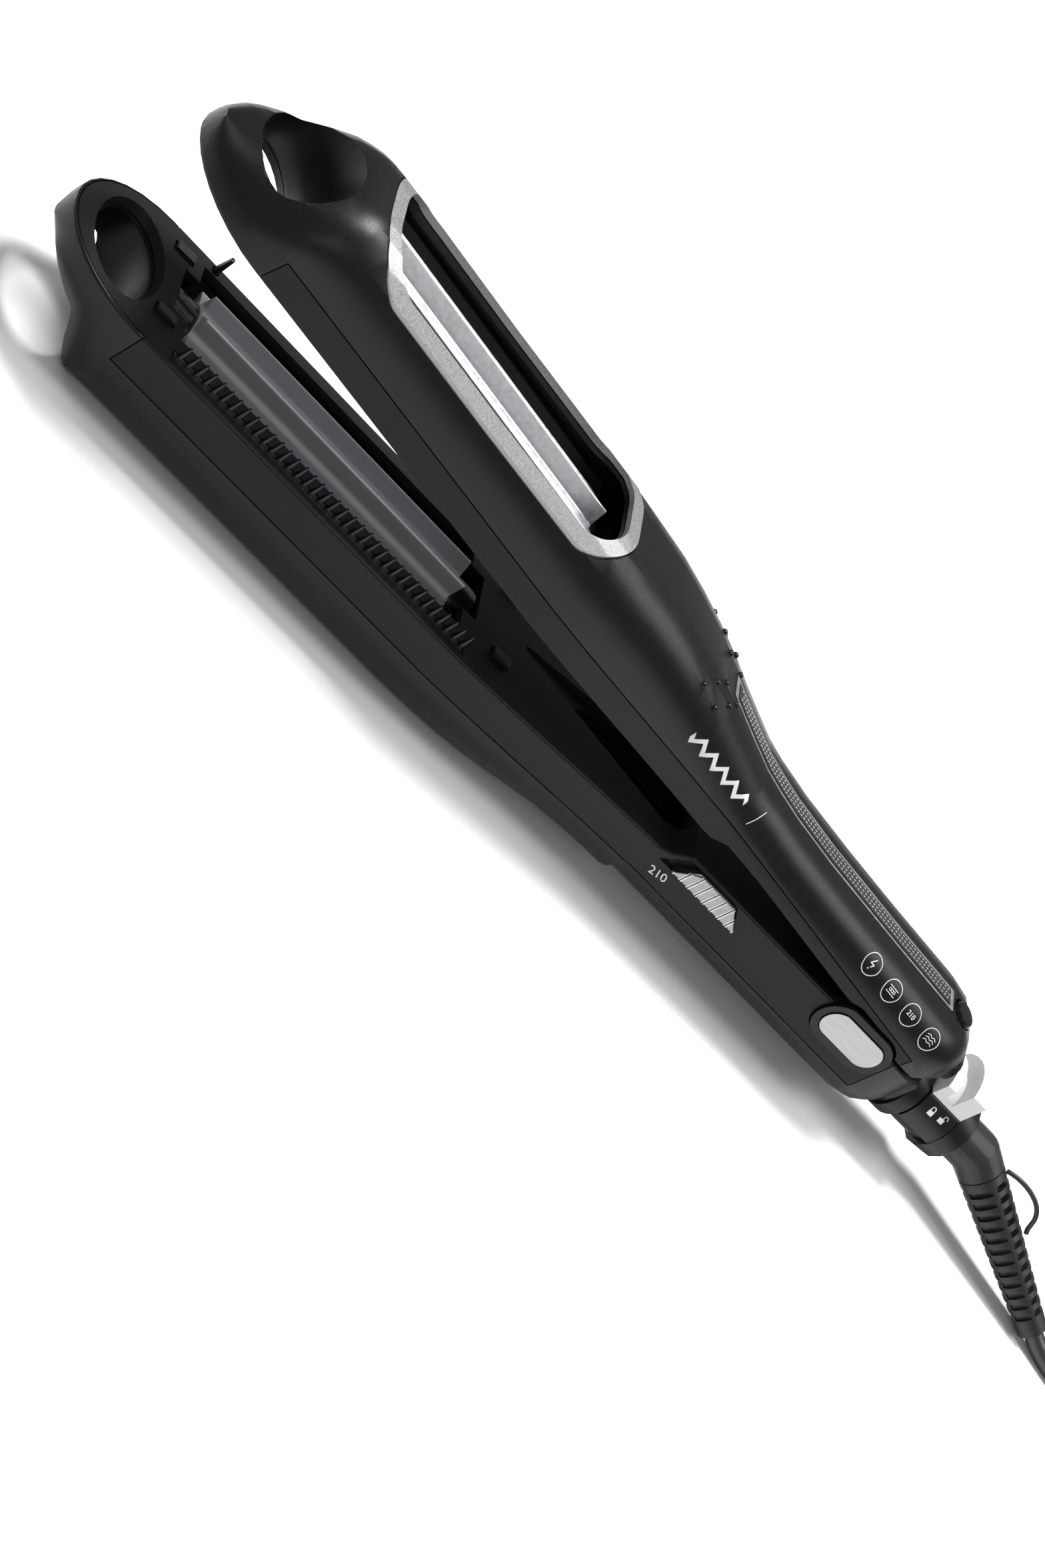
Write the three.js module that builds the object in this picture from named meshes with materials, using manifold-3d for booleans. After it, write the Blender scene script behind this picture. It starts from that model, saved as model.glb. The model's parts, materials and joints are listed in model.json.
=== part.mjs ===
// Roller hair crimper: two hinged arms, each with a heated star roller that meshes with the other.
// Millimetres, +Z up. The lower arm lies on its back; x = 0 is the middle of its roller slot,
// y = 0 the middle of its width and z = 0 the surface it rests on. The cord leaves towards +X.
import * as THREE from 'three';
import { mergeVertices } from 'three/addons/utils/BufferGeometryUtils.js';
import Module from 'manifold-3d';

const wasm = await Module();
wasm.setup();

// ---- driving dimensions ----
const gap = 0.3;               // running gap between neighbouring solids
const wall = 2.2;              // casing wall
const barrelHalf = 20;         // half width of the barrel
const handleHalf = 14.9;       // half width of the handle
const rimHeight = 25;          // height of the lower arm's rim plane
const rimGap = 2.4;            // space between the two rims when the arms are closed
const openAngle = 6.4;         // degrees between the arms at rest
const pivotX = 192.6;
const pivotZ = 26;
const tipX = -81.5;            // finger-loop end of both arms
const loopEdgeX = -55;         // where the finger loop meets the barrel
const loopDepth = 6.5;         // thickness of the loop at its very end
const loopSlope = 31.5;        // degrees, slope of the loop's outer face
const tailX = 219.5;           // end of both handles
const tailRound = 14;          // length of the handles' rounded ends
const barrelEndX = 46;         // where the barrel begins to narrow
const neckX = 122;             // where it has become the handle
const lowerSeam = 9.4;         // height of the inner housing's side band, lower arm
const upperSeam = 7.4;
const barrelDepth = 25;
const barrelCrown = 13;        // radius of the outer shoulders
const handleRise = 4.3;        // lower handle's edge stands this far above the rim plane
const handleRecess = 3.8;      // upper handle's edge is set back this far
const rampX = 126.5;           // end of the rise
const rollerLength = 86;
const rollerTip = 10.7;
const rollerRoot = 7.2;
const rollerTeeth = 8;
const rollerBore = 4.2;
const rollerOffset = 2.75;     // roller axis, towards the far side
const rollerSink = 7.2;        // lower roller axis under the rim plane
const rollerCentres = 18.8;    // distance between roller axes when closed
const rollerPhase = 2.7;       // degrees
const heaterRadius = 3.4;
const endCapRadius = 6.6;
const slotHalfLength = 46;
const slotHalfWidth = 13.1;
const notchLength = 4.4;       // slot extension over each bearing
const notchHalf = 7.25;
const loopHoleX = -65.2;
const loopHoleHalfX = 10.2;
const loopHoleHalfY = 14.2;
const windowHalfX = 44;        // opening in the upper shell
const windowHalfY = 15.4;
const windowCorner = 12;
const frameThick = 1.3;
const combTeeth = 36;
const combPitch = 2.65;
const combHeight = 4.3;
const combY = -16.2;
const combStart = -45.7;
const padHeight = 1.0;
const padHalfX = 2.8;
const padHalfY = 1.3;
const padSink = 0.9;            // depth of the pad's pocket
const pinRadius = 2;
const cheekLength = 24.3;      // oval hinge cheek
const cheekHeight = 13;
const cheekThick = 3.4;
const capLength = 19.8;
const capHeight = 8.4;
const collarRadius = 9.85;
const collarZ = 18.6;
const collarEndX = 236.4;
const ringLength = 6;
const elbowRadius = 6.4;
const elbowX = 253;
const bendAngle = 24.3;        // degrees between the arm's axis and the cord sleeve
const bendRoll = 48.4;         // degrees from straight down towards the near side
const sleeveLength = 52.5;
const sleeveStart = 6.1;
const sleeveEnd = 3.9;
const sleeveRibs = 12;
const cordRadius = 2.5;
const hankBend = 20;           // radius of the hank's end loops, at the middle of the bundle
const hankSection = 7.5;       // radius of the bundle of turns
const hankStart = 340;         // centres of the two end loops
const hankRun = 82;            // straight length between them
const tieWidth = 6;
const tieThick = 0.8;
const floorGap = 0.05;
const plugLength = 32;
const plugWidth = 26;
const plugHeight = 13.7;
const plugY = -15;
const plugRearX = 463;
const pinPitch = 18.6;
const pinDiameter = 4;
const pinLength = 19;
const slideX = 138;
const slideZ = 25.6;
const slideLength = 23.1;
const slideTop = 13;
const slideLean = 4.4;         // how far the slide's top edge is set back from its tip end
const slideHeight = 5.1;
const slideTravel = 4;
const guideX = -43;            // tall guide blade on the far rim
const guideY = 17.8;
const guideHeight = 5.2;
const springTurns = 4;
const springRadius = 3.6;
const springWire = 0.55;
const springHalf = 5;
const lugInner = 6.6;
const lugOuter = 10.6;
const lugRadius = 5.2;
const lowerSpin = 22.5 + rollerPhase;
const upperSink = rollerCentres - rollerSink - rimGap;
const scoopStart = 67;         // hollow behind the roller
const scoopHalf = 10;
const scoopDepth = 5.5;
const camStart = 224.5;
const screwHead = 2.6;
const screwShank = 1.2;
const boardX = [133, 176];     // circuit board in the lower handle
const boardHalf = 8.5;
const boardZ = 12.4;
const boardThick = 1.6;
const frameEndWidth = 3.8;
const frameSideWidth = 2.3;
const frameProud = 0.25;
const stripStart = 96;
const stripEnd = 205;
const stripY = 0;
const stripHalf = 3.4;
const stripRim = 1.1;
const stripThick = 1.2;
const stripSteps = 14;
const tabX = 210;
const dotX = 84;
const dotRadius = 0.85;
const shieldTop = 16.4;
const shieldThick = 1;
const shieldStand = 1.45;      // far shield to the casing wall
const deck = 3;                 // inner parts start this far behind the rim plane

const deg = Math.PI / 180;

// ---- materials ----
const finish = (color, roughness, metalness = 0) =>
  new THREE.MeshStandardMaterial({ color, roughness, metalness });
const satinBlack = finish(0x1c1c1e, 0.42);
const bandBlack = finish(0x2b2b2c, 0.5);
const innerBlack = finish(0x141415, 0.55);
const ceramicGrey = finish(0x606268, 0.35, 0.2);
const brightSilver = finish(0xd8dadc, 0.2, 0.9);
const satinSilver = finish(0xb9babb, 0.4, 0.8);
const steel = finish(0x9a9c9e, 0.35, 0.9);
const paleCam = finish(0xdcdcdc, 0.45);
const cordBlack = finish(0x17181a, 0.5);
const boardGreen = finish(0x1e5c3a, 0.6);
const brassPin = finish(0xb08d4a, 0.3, 0.9);

// ---- solids ----
function solid(geometry) {
  const bare = geometry.index ? geometry.clone() : geometry;
  for (const name of Object.keys(bare.attributes)) {
    if (name !== 'position') bare.deleteAttribute(name);
  }
  const merged = mergeVertices(bare, 1e-4);
  return new wasm.Manifold(new wasm.Mesh({
    numProp: 3,
    vertProperties: new Float32Array(merged.attributes.position.array),
    triVerts: new Uint32Array(merged.index.array),
  }));
}

function toGeometry(body) {
  const mesh = body.getMesh();
  const geometry = new THREE.BufferGeometry();
  geometry.setAttribute('position', new THREE.BufferAttribute(mesh.vertProperties, 3));
  geometry.setIndex(new THREE.BufferAttribute(mesh.triVerts, 1));
  geometry.computeVertexNormals();
  return geometry;
}

function node(parent, name, body, material) {
  const geometry = body.isBufferGeometry ? body : toGeometry(body);
  const mesh = new THREE.Mesh(geometry, material);
  mesh.name = name;
  parent.add(mesh);
  return mesh;
}

const join = (parts) => parts.reduce((a, b) => a.add(b));

function box(x0, x1, y0, y1, z0, z1) {
  const geometry = new THREE.BoxGeometry(x1 - x0, y1 - y0, z1 - z0);
  return solid(geometry.translate((x0 + x1) / 2, (y0 + y1) / 2, (z0 + z1) / 2));
}

// A round bar between two x values, about an axis parallel to X.
function barX(x0, x1, y, z, radius, sides = 24, endRadius = radius) {
  const geometry = new THREE.CylinderGeometry(radius, endRadius, x1 - x0, sides);
  return solid(geometry.rotateZ(Math.PI / 2).translate((x0 + x1) / 2, y, z));
}

// A round bar between two y values, about an axis parallel to Y.
function barY(x, y0, y1, z, radius, sides = 24) {
  const geometry = new THREE.CylinderGeometry(radius, radius, y1 - y0, sides);
  return solid(geometry.translate(x, (y0 + y1) / 2, z));
}

function stadiumShape(length, height) {
  const r = height / 2;
  const half = length / 2 - r;
  const shape = new THREE.Shape();
  shape.moveTo(-half, -r);
  shape.lineTo(half, -r);
  shape.absarc(half, 0, r, -Math.PI / 2, Math.PI / 2);
  shape.lineTo(-half, r);
  shape.absarc(-half, 0, r, Math.PI / 2, Math.PI * 1.5);
  return shape;
}

function roundedShape(halfX, halfY, corner) {
  const shape = new THREE.Shape();
  const r = Math.min(corner, halfX - 0.1, halfY - 0.1);
  shape.moveTo(-halfX + r, -halfY);
  shape.lineTo(halfX - r, -halfY);
  shape.absarc(halfX - r, -halfY + r, r, -Math.PI / 2, 0);
  shape.lineTo(halfX, halfY - r);
  shape.absarc(halfX - r, halfY - r, r, 0, Math.PI / 2);
  shape.lineTo(-halfX + r, halfY);
  shape.absarc(-halfX + r, halfY - r, r, Math.PI / 2, Math.PI);
  shape.lineTo(-halfX, -halfY + r);
  shape.absarc(-halfX + r, -halfY + r, r, Math.PI, Math.PI * 1.5);
  return shape;
}

// A shape drawn in x and y, standing from z0 to z1.
function prismZ(shape, z0, z1, curveSegments = 8) {
  const geometry = new THREE.ExtrudeGeometry(shape, { depth: z1 - z0, bevelEnabled: false, curveSegments });
  return solid(geometry.translate(0, 0, z0));
}

// A shape drawn in x and z, running from y0 to y1.
function prismY(shape, y0, y1, curveSegments = 8) {
  const geometry = new THREE.ExtrudeGeometry(shape, { depth: y1 - y0, bevelEnabled: false, curveSegments });
  return solid(geometry.rotateX(Math.PI / 2).translate(0, y1, 0));
}

// A closed skin through rings of equal point counts, each an outline in y and z at one x.
function loft(rings) {
  const count = rings[0].outline.length;
  const spans = rings.length - 1;
  const geometry = new THREE.CylinderGeometry(1, 1, 1, count, spans);
  const p = geometry.attributes.position;
  for (let i = 0; i < p.count; i += 1) {
    const ring = rings[Math.round((p.getY(i) + 0.5) * spans)];
    const around = Math.atan2(p.getX(i), p.getZ(i)) / (2 * Math.PI);
    const column = (Math.round(around * count) + count) % count;
    const atAxis = Math.hypot(p.getX(i), p.getZ(i)) < 0.5;
    const [y, z] = atAxis ? centreOf(ring.outline) : ring.outline[column];
    p.setXYZ(i, ring.x, y, z);
  }
  return solid(geometry);
}

function centreOf(outline) {
  const sum = outline.reduce(([a, b], [y, z]) => [a + y, b + z], [0, 0]);
  return [sum[0] / outline.length, sum[1] / outline.length];
}

// Cross-section of an arm: flat inner face, upright sides, broad outer shoulders.
function armOutline(half, inner, outer, crown, edge = 0.8) {
  const steps = 5;
  const r = Math.min(crown, half - 0.5, outer - inner - edge - 0.2);
  const points = [];
  const arc = (cy, cz, radius, from) => {
    for (let i = 0; i <= steps; i += 1) {
      const a = (from + (90 * i) / steps) * deg;
      points.push([cy + radius * Math.cos(a), cz + radius * Math.sin(a)]);
    }
  };
  arc(half - r, outer - r, r, 0);
  arc(-half + r, outer - r, r, 90);
  arc(-half + edge, inner + edge, edge, 180);
  arc(half - edge, inner + edge, edge, 270);
  return points;
}

const mix = (a, b, t) => a + (b - a) * t;
const ease = (t) => t * t * (3 - 2 * t);

// Half width of either arm along x: rounded tip, straight barrel, narrowing neck, handle, rounded tail.
function halfWidth(x) {
  const tipLength = loopEdgeX - 2 - tipX;
  if (x < loopEdgeX - 2) {
    const t = Math.min((loopEdgeX - 2 - x) / tipLength, 0.999);
    return barrelHalf * Math.sqrt(1 - t * t);
  }
  if (x < barrelEndX) return barrelHalf;
  if (x < neckX) {
    const along = (x - barrelEndX) / (neckX - barrelEndX);
    return mix(barrelHalf, handleHalf, mix(ease(along), along, 0.5));
  }
  if (x < tailX - tailRound) return handleHalf;
  const t = Math.min((x - tailX + tailRound) / tailRound, 0.9);
  return handleHalf * Math.sqrt(1 - t * t * 0.75);
}

const bodyStations = [-81.4, -80.8, -79.4, -77.3, -74.5, -71, -66.5, -61.5, -57, -54, -51.5, -49, -45,
  0, 46, 56, 66, 76, 86, 96, 104, 112, 118.6];
const handleStations = [119.4, 122.5, rampX, 140, 160, 180, tailX - tailRound, tailX - 8, tailX - 4,
  tailX - 1.5, tailX];

// Outer depth of the upper arm measured from the rim plane.
function upperDepth(x) {
  const marks = [[-90, 25.2], [0, 25.3], [50, 26], [66, 25.9], [80, 24.7], [94, 22.4], [107, 19.4],
    [120, 16.8], [132, 15.7], [150, 15.6], [180, 16.7], [205, 18], [tailX - 8, 18.1], [tailX - 3, 16.6],
    [tailX, 13.5]];
  return along(marks, x);
}

// Outer depth of the lower arm; the belly ends in a small step where the handle starts.
function lowerDepth(x) {
  const marks = [[-90, barrelDepth], [62, barrelDepth], [74, 24], [86, 22.1], [98, 20.3], [110, 19.7],
    [119, 19.7], [119.1, 17.6], [tailX - 12, 17.5], [tailX - 6, 16.9], [tailX, 14.8]];
  return along(marks, x);
}

function along(marks, x) {
  const found = marks.findIndex((m) => m[0] >= x);
  const k = found < 0 ? marks.length - 1 : Math.max(1, found);
  const [x0, v0] = marks[k - 1];
  const [x1, v1] = marks[k];
  return mix(v0, v1, Math.min(1, Math.max(0, (x - x0) / (x1 - x0))));
}

// Inner face of each arm, measured from its rim plane towards its own back.
function lowerInner(x) {
  const rise = -handleRise;
  return along([[-90, 0], [rampX - 5.3, 0], [rampX, rise], [tailX - tailRound, rise],
    [tailX - tailRound / 2, rise + 1.2], [tailX, rise + 3.2]], x);
}

function upperInner(x) {
  return along([[-90, 0], [neckX, 0.6], [neckX + 5.5, handleRecess], [tailX - 8, handleRecess],
    [tailX - 3, handleRecess + 2.6], [tailX, handleRecess + 4.5]], x);
}

function crownAt(x) {
  return along([[-66, barrelCrown + 1.5], [-57, barrelCrown - 1], [-50, barrelCrown], [60, barrelCrown],
    [neckX, 10], [tailX, 9]], x);
}

// Depth of an arm with the loop's sloped outer face run smoothly into the barrel. The lower arm's
// slope steepens before it meets the barrel.
function outerDepth(kind, x) {
  const slope = (at) => loopDepth + (at - tipX) * Math.tan(loopSlope * deg);
  if (kind === 'upper') return softMin(upperDepth(x), slope(x));
  return softMin(lowerDepth(x), along([[tipX, loopDepth], [-66, slope(-66)], [-59.5, 23.3], [-54, 30]], x));
}

const softMin = (a, b) => -Math.log(Math.exp(-a) + Math.exp(-b));

// The full outer body of an arm, inset by a distance on its sides and back.
function armBody(kind, stations, inset = 0, cut = 0) {
  const inner = kind === 'upper' ? upperInner : lowerInner;
  const rings = stations.map((x) => ({
    x,
    outline: armOutline(Math.max(halfWidth(x) - inset, 1), inner(x) + cut, outerDepth(kind, x) - inset,
      Math.max(crownAt(x) - inset, 1)),
  }));
  return loft(rings);
}

// Waisted finger hole through the loop.
function loopHole(extra = 0) {
  const geometry = new THREE.CylinderGeometry(1, 1, 1, 28, 5);
  const p = geometry.attributes.position;
  const heights = [-3, 0, 3.5, 8, 16, 30];
  const widths = [1.06, 1, 0.88, 0.9, 1.0, 1.02];
  for (let i = 0; i < p.count; i += 1) {
    const row = Math.round((p.getY(i) + 0.5) * 5);
    const grow = widths[row];
    const atAxis = Math.hypot(p.getX(i), p.getZ(i)) < 0.5 ? 0 : 1;
    const a = Math.atan2(p.getX(i), p.getZ(i));
    const x = loopHoleX + atAxis * (loopHoleHalfX + extra) * grow * Math.sin(a);
    const y = atAxis * (loopHoleHalfY + extra) * grow * Math.cos(a);
    p.setXYZ(i, x, -y, heights[row]);
  }
  return solid(geometry);
}

// ---- one arm, drawn with its rim plane at z = 0 and its back towards +Z ----
// side is +1 when the arm's own +y is the far side of the tool, -1 when it is turned over.
function rollerSlot(side, extra = 0) {
  const y = side * rollerOffset;
  const half = slotHalfWidth + extra;
  const main = box(-slotHalfLength, slotHalfLength, y - half, y + half, -6, wall + 1.2);
  const reach = slotHalfLength + notchLength;
  const notch = box(-reach, reach, y - notchHalf, y + notchHalf, -6, wall + 1.2);
  return main.add(notch);
}

function armCavity(kind) {
  const stations = [loopEdgeX + wall, 0, 46, 66, 86, 104, 118, 122.5, rampX + wall, 160, tailX - 14,
    tailX - 9, tailX - 5];
  return armBody(kind, stations, wall, wall);
}

function loopPlate(margin, depth) {
  const shape = new THREE.Shape();
  const count = 22;
  for (let i = 0; i <= count; i += 1) {
    const a = mix(-90, 90, i / count) * deg;
    const x = loopEdgeX - 2 - (loopEdgeX - 2 - tipX - margin) * Math.cos(a);
    const y = (barrelHalf - margin) * Math.sin(a);
    if (i === 0) shape.moveTo(x, y);
    else shape.lineTo(x, y);
  }
  shape.lineTo(loopEdgeX + 3, barrelHalf - margin);
  shape.lineTo(loopEdgeX + 3, -barrelHalf + margin);
  return prismZ(shape, -4, depth);
}

function coverRegion(seam, clearance) {
  const band = box(loopEdgeX - clearance, tailX - 14 + clearance, -30, 30, -10, seam + clearance);
  return band.add(loopPlate(1 - clearance, wall + clearance));
}

function armCasing(kind, seam) {
  const stations = [...bodyStations, ...handleStations];
  const whole = armBody(kind, stations).subtract(loopHole());
  const cavity = armCavity(kind);
  const plate = whole.intersect(loopPlate(1, wall));
  const band = whole.intersect(box(loopEdgeX, tailX - 14, -30, 30, -10, seam)).subtract(cavity);
  const cover = band.add(plate);
  const shell = whole.subtract(coverRegion(seam, gap)).subtract(cavity);
  return { cover, shell };
}

function rollerShape() {
  const shape = new THREE.Shape();
  const pitch = (2 * Math.PI) / rollerTeeth;
  const land = 4 * deg;
  for (let i = 0; i < rollerTeeth; i += 1) {
    const a = i * pitch;
    const put = (r, t) => (i === 0 && t < a
      ? shape.moveTo(r * Math.cos(t), r * Math.sin(t))
      : shape.lineTo(r * Math.cos(t), r * Math.sin(t)));
    put(rollerTip, a - 1.2 * deg);
    put(rollerTip, a + 1.2 * deg);
    put(rollerRoot, a + pitch / 2 - land);
    put(rollerRoot, a + pitch / 2 + land);
  }
  const bore = new THREE.Path();
  bore.absarc(0, 0, rollerBore, 0, 2 * Math.PI, true);
  shape.holes.push(bore);
  return shape;
}

function rollerBody() {
  const geometry = new THREE.ExtrudeGeometry(rollerShape(), {
    depth: rollerLength, bevelEnabled: false, curveSegments: 10, steps: 1,
  });
  // shape x -> arm y, shape y -> arm z, extrusion -> arm x
  const turned = new THREE.Matrix4().set(
    0, 0, 1, -rollerLength / 2,
    1, 0, 0, 0,
    0, 1, 0, 0,
    0, 0, 0, 1,
  );
  geometry.applyMatrix4(turned);
  return solid(geometry);
}

function rollerEnd(end) {
  const inner = rollerLength / 2 + gap;
  const outer = slotHalfLength + notchLength - 0.6;
  const [x0, x1] = end < 0 ? [-outer, -inner] : [inner, outer];
  const cap = barX(x0, x1, 0, 0, endCapRadius, 28);
  return cap.subtract(barX(x0 - 1, x1 + 1, 0, 0, rollerBore, 20));
}

// Star roller, its two end caps, the fixed heater rod and the rod's two seats.
function addRoller(arm, prefix, side, depth, surface, spinPhase) {
  const y = side * rollerOffset;
  const spin = new THREE.Group();
  spin.position.set(0, y, depth);
  spin.rotation.x = spinPhase * deg;
  arm.add(spin);
  node(spin, `${prefix}_roller`, rollerBody(), surface);
  node(spin, `${prefix}_roller_cap_tip`, rollerEnd(-1), innerBlack);
  node(spin, `${prefix}_roller_cap_tail`, rollerEnd(1), innerBlack);
  const seatInner = slotHalfLength + notchLength + 0.1;
  const seatTip = loopEdgeX + wall + gap;
  const rod = barX(seatTip + 0.2, seatInner + 5, y, depth, heaterRadius, 20);
  node(arm, `${prefix}_heater_rod`, rod, steel);
  const seatTop = depth + endCapRadius;
  const bore = barX(-80, 80, y, depth, heaterRadius + gap, 20);
  const seat = (x0, x1) => box(x0, x1, y - endCapRadius, y + endCapRadius, deck, seatTop).subtract(bore);
  node(arm, `${prefix}_rod_seat_tip`, seat(seatTip, -seatInner), innerBlack);
  node(arm, `${prefix}_rod_seat_tail`, seat(seatInner, seatInner + 5), innerBlack);
}

// Upright heat shields beside the upper roller: one by the slot's near edge, one by the casing's far wall.
function sideShield(far, top) {
  const low = far ? barrelHalf - wall - shieldStand - shieldThick
    : rollerOffset - slotHalfWidth + 0.5 - shieldThick;
  const x = slotHalfLength - 1.6;
  return box(-x, x, low, low + shieldThick, deck, top);
}

// Trough-shaped heat shield under the lower roller.
function troughShield(side, depth) {
  const y = side * rollerOffset;
  const inner = slotHalfWidth - 0.5;
  const outer = inner + shieldThick;
  const x = slotHalfLength - 1.6;
  const round = (r, pad) => barX(-x + pad, x - pad, y, depth, r, 40)
    .add(box(-x + pad, x - pad, y - r, y + r, 0, depth));
  const trough = round(outer, 0).subtract(round(inner, -1));
  return trough.intersect(box(-60, 60, -40, 40, deck, 40));
}

// Small bumpers that keep the closed rims apart, seated in pockets of the cover.
function stopPads(side, grow = 0) {
  const places = [[-51.9, -10.9], [-51.9, 10.9], [59.7, -10.9], [59.7, 10.9]];
  return places.map(([x, off]) => {
    const y = side * (rollerOffset + off);
    const halfX = padHalfX + grow;
    const halfY = padHalfY + grow;
    return box(x - halfX, x + halfX, y - halfY, y + halfY, -padHeight, padSink + grow);
  });
}

function addPads(arm, prefix, side) {
  stopPads(side).forEach((pad, i) => node(arm, `${prefix}_stop_pad_${i + 1}`, pad, innerBlack));
}

function combBar(side, grow = 0) {
  const y = -side * Math.abs(combY);
  const end = combStart + combPitch * (combTeeth - 1);
  return box(combStart - 1.2 - grow, end + 1.2 + grow, y - 1.3 - grow, y + 1.3 + grow, -grow, 1.1 + grow);
}

function comb(side) {
  const y = -side * Math.abs(combY);
  const height = combHeight + 0.4;
  const teeth = [];
  for (let i = 0; i < combTeeth; i += 1) {
    const geometry = new THREE.CylinderGeometry(0.42, 0.95, height, 4);
    geometry.rotateY(Math.PI / 4).scale(0.72, 1, 1.3).rotateX(-Math.PI / 2);
    geometry.translate(combStart + i * combPitch, y, 0.4 - height / 2);
    teeth.push(solid(geometry));
  }
  return join([combBar(side), ...teeth]);
}

// Tapered blade on the far rim that keeps hair in the comb.
function hairGuide(side, grow = 0) {
  const geometry = new THREE.CylinderGeometry(0.75 + grow, 1.45 + grow, guideHeight + 1.5 + grow, 8);
  geometry.rotateX(-Math.PI / 2).scale(0.75, 1, 1);
  return solid(geometry.translate(guideX, side * guideY, 0.75 - guideHeight / 2 + grow / 2));
}

// ---- hinge ----
const cheekIn = handleHalf - cheekThick + 0.8;
const cheekOut = handleHalf + 0.8;
const capSink = 0.8;            // depth of the cap's pocket in the cheek
const capProud = 0.35;

// Two y values at these distances from the middle, on the far or the near side, in rising order.
const span = (far, inner, outer) => (far ? [inner, outer] : [-outer, -inner]);

function cheekAt(far, grow, turn = 0) {
  const shape = stadiumShape(cheekLength + 2 * grow, cheekHeight + 2 * grow);
  const y0 = cheekIn - grow;
  const y1 = cheekOut + (grow ? 6 : 0);
  const body = new THREE.ExtrudeGeometry(shape, { depth: y1 - y0, bevelEnabled: false, curveSegments: 10 });
  body.rotateX(Math.PI / 2).translate(0, y1, 0);
  if (!far) body.rotateZ(Math.PI);
  body.rotateY(turn * deg).translate(pivotX, 0, pivotZ);
  return solid(body);
}

function hingeCheek(far) {
  const outline = stadiumShape(capLength + 2 * gap, capHeight + 2 * gap);
  const recess = prismY(outline, ...span(far, cheekOut - capSink, cheekOut + 1))
    .translate([pivotX, 0, pivotZ]);
  const bore = barY(pivotX, ...span(far, 5, cheekOut - 1.6), pivotZ, pinRadius + 0.1);
  return cheekAt(far, 0).subtract(recess).subtract(bore);
}

function hingeCap(far) {
  const outline = stadiumShape(capLength, capHeight);
  const [y0, y1] = span(far, cheekOut - capSink + gap, cheekOut + capProud);
  return prismY(outline, y0, y1).translate([pivotX, 0, pivotZ]);
}

function openingSpring() {
  class Coil extends THREE.Curve {
    getPoint(t) {
      const a = t * springTurns * 2 * Math.PI;
      const y = mix(-springHalf, springHalf, t);
      return new THREE.Vector3(springRadius * Math.cos(a), y, springRadius * Math.sin(a));
    }
  }
  const wire = new THREE.Shape();
  wire.absarc(0, 0, springWire, 0, 2 * Math.PI);
  const geometry = new THREE.ExtrudeGeometry(wire, {
    extrudePath: new Coil(), steps: springTurns * 14, curveSegments: 3, bevelEnabled: false,
  });
  return solid(geometry.translate(pivotX, 0, pivotZ));
}

// Two lugs under the upper arm that turn on the hinge pin.
function hingeLugs(grow = 0) {
  const lug = (y0, y1) => {
    const round = barY(pivotX, y0 - grow, y1 + grow, pivotZ, lugRadius + grow);
    const top = rimHeight + rimGap + handleRecess + wall + 2;
    const reach = lugRadius + grow;
    const web = box(pivotX - reach, pivotX + reach, y0 - grow, y1 + grow, pivotZ, top);
    return round.add(web);
  };
  return lug(-lugOuter, -lugInner).add(lug(lugInner, lugOuter));
}

// ---- lower arm ----
const lower = new THREE.Group();
const lowerFrame = new THREE.Group();      // turned over: rim plane up
lowerFrame.rotation.x = Math.PI;
lowerFrame.position.z = rimHeight;
lower.add(lowerFrame);

const flip = new THREE.Matrix4().makeRotationX(Math.PI).setPosition(0, 0, rimHeight);
const toFrame = (body, matrix) => solid(toGeometry(body).applyMatrix4(matrix.clone().invert()));
const inLowerFrame = (body) => toFrame(body, flip);

// Side view of the slide, a low trapezoid; reach makes it longer towards the tip.
function slideOutline(grow = 0, reach = 0) {
  const shape = new THREE.Shape();
  const half = slideLength / 2 + grow;
  const high = slideHeight / 2 + grow;
  const tip = -half - reach;
  shape.moveTo(tip, -high);
  shape.lineTo(half, -high);
  shape.lineTo(tip + reach + slideLean + slideTop + 2 * grow, high);
  shape.lineTo(tip + slideLean, high);
  return shape;
}

function slideRecess() {
  const open = prismY(slideOutline(0.4, slideTravel), -handleHalf - 1, -handleHalf + 1.4);
  const slot = box(-3.5 - slideTravel, 3.5, -handleHalf - 1, -handleHalf + 4, -1.3, 1.3);
  return open.add(slot).translate([slideX, 0, slideZ]);
}

function buildLower() {
  const side = -1;
  const { cover, shell } = armCasing('lower', lowerSeam);
  const lugReach = lugRadius + 1.6;
  const lugSpace = inLowerFrame(box(pivotX - lugReach, pivotX + lugReach, -lugOuter - 0.8,
    lugOuter + 0.8, pivotZ - lugRadius - 1, 60));
  const cheeks = inLowerFrame(cheekAt(true, gap).add(cheekAt(false, gap)));
  const pinHole = inLowerFrame(barY(pivotX, -cheekIn, cheekIn, pivotZ, pinRadius + gap));
  const holes = [rollerSlot(side), ...stopPads(side, gap), combBar(side, gap), hairGuide(side, gap), lugSpace,
    cheeks, inLowerFrame(slideRecess()), inLowerFrame(scoop()), pinHole];
  node(lowerFrame, 'lower_cover', cover.subtract(join(holes)), bandBlack);
  const collarHole = inLowerFrame(barX(tailX - 10, tailX + 2, 0, collarZ, collarRadius - 1.4 + gap, 28));
  const screws = inLowerFrame(join(bellyScrews(gap)));
  node(lowerFrame, 'lower_shell', shell.subtract(cheeks).subtract(collarHole).subtract(screws), satinBlack);
  node(lowerFrame, 'comb', comb(side), innerBlack);
  node(lowerFrame, 'hair_guide', hairGuide(side), innerBlack);
  addPads(lowerFrame, 'lower', side);
  node(lowerFrame, 'lower_heat_shield', troughShield(side, rollerSink), innerBlack);
  addRoller(lowerFrame, 'lower', side, rollerSink, ceramicGrey, 180 + lowerSpin);
}

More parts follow.
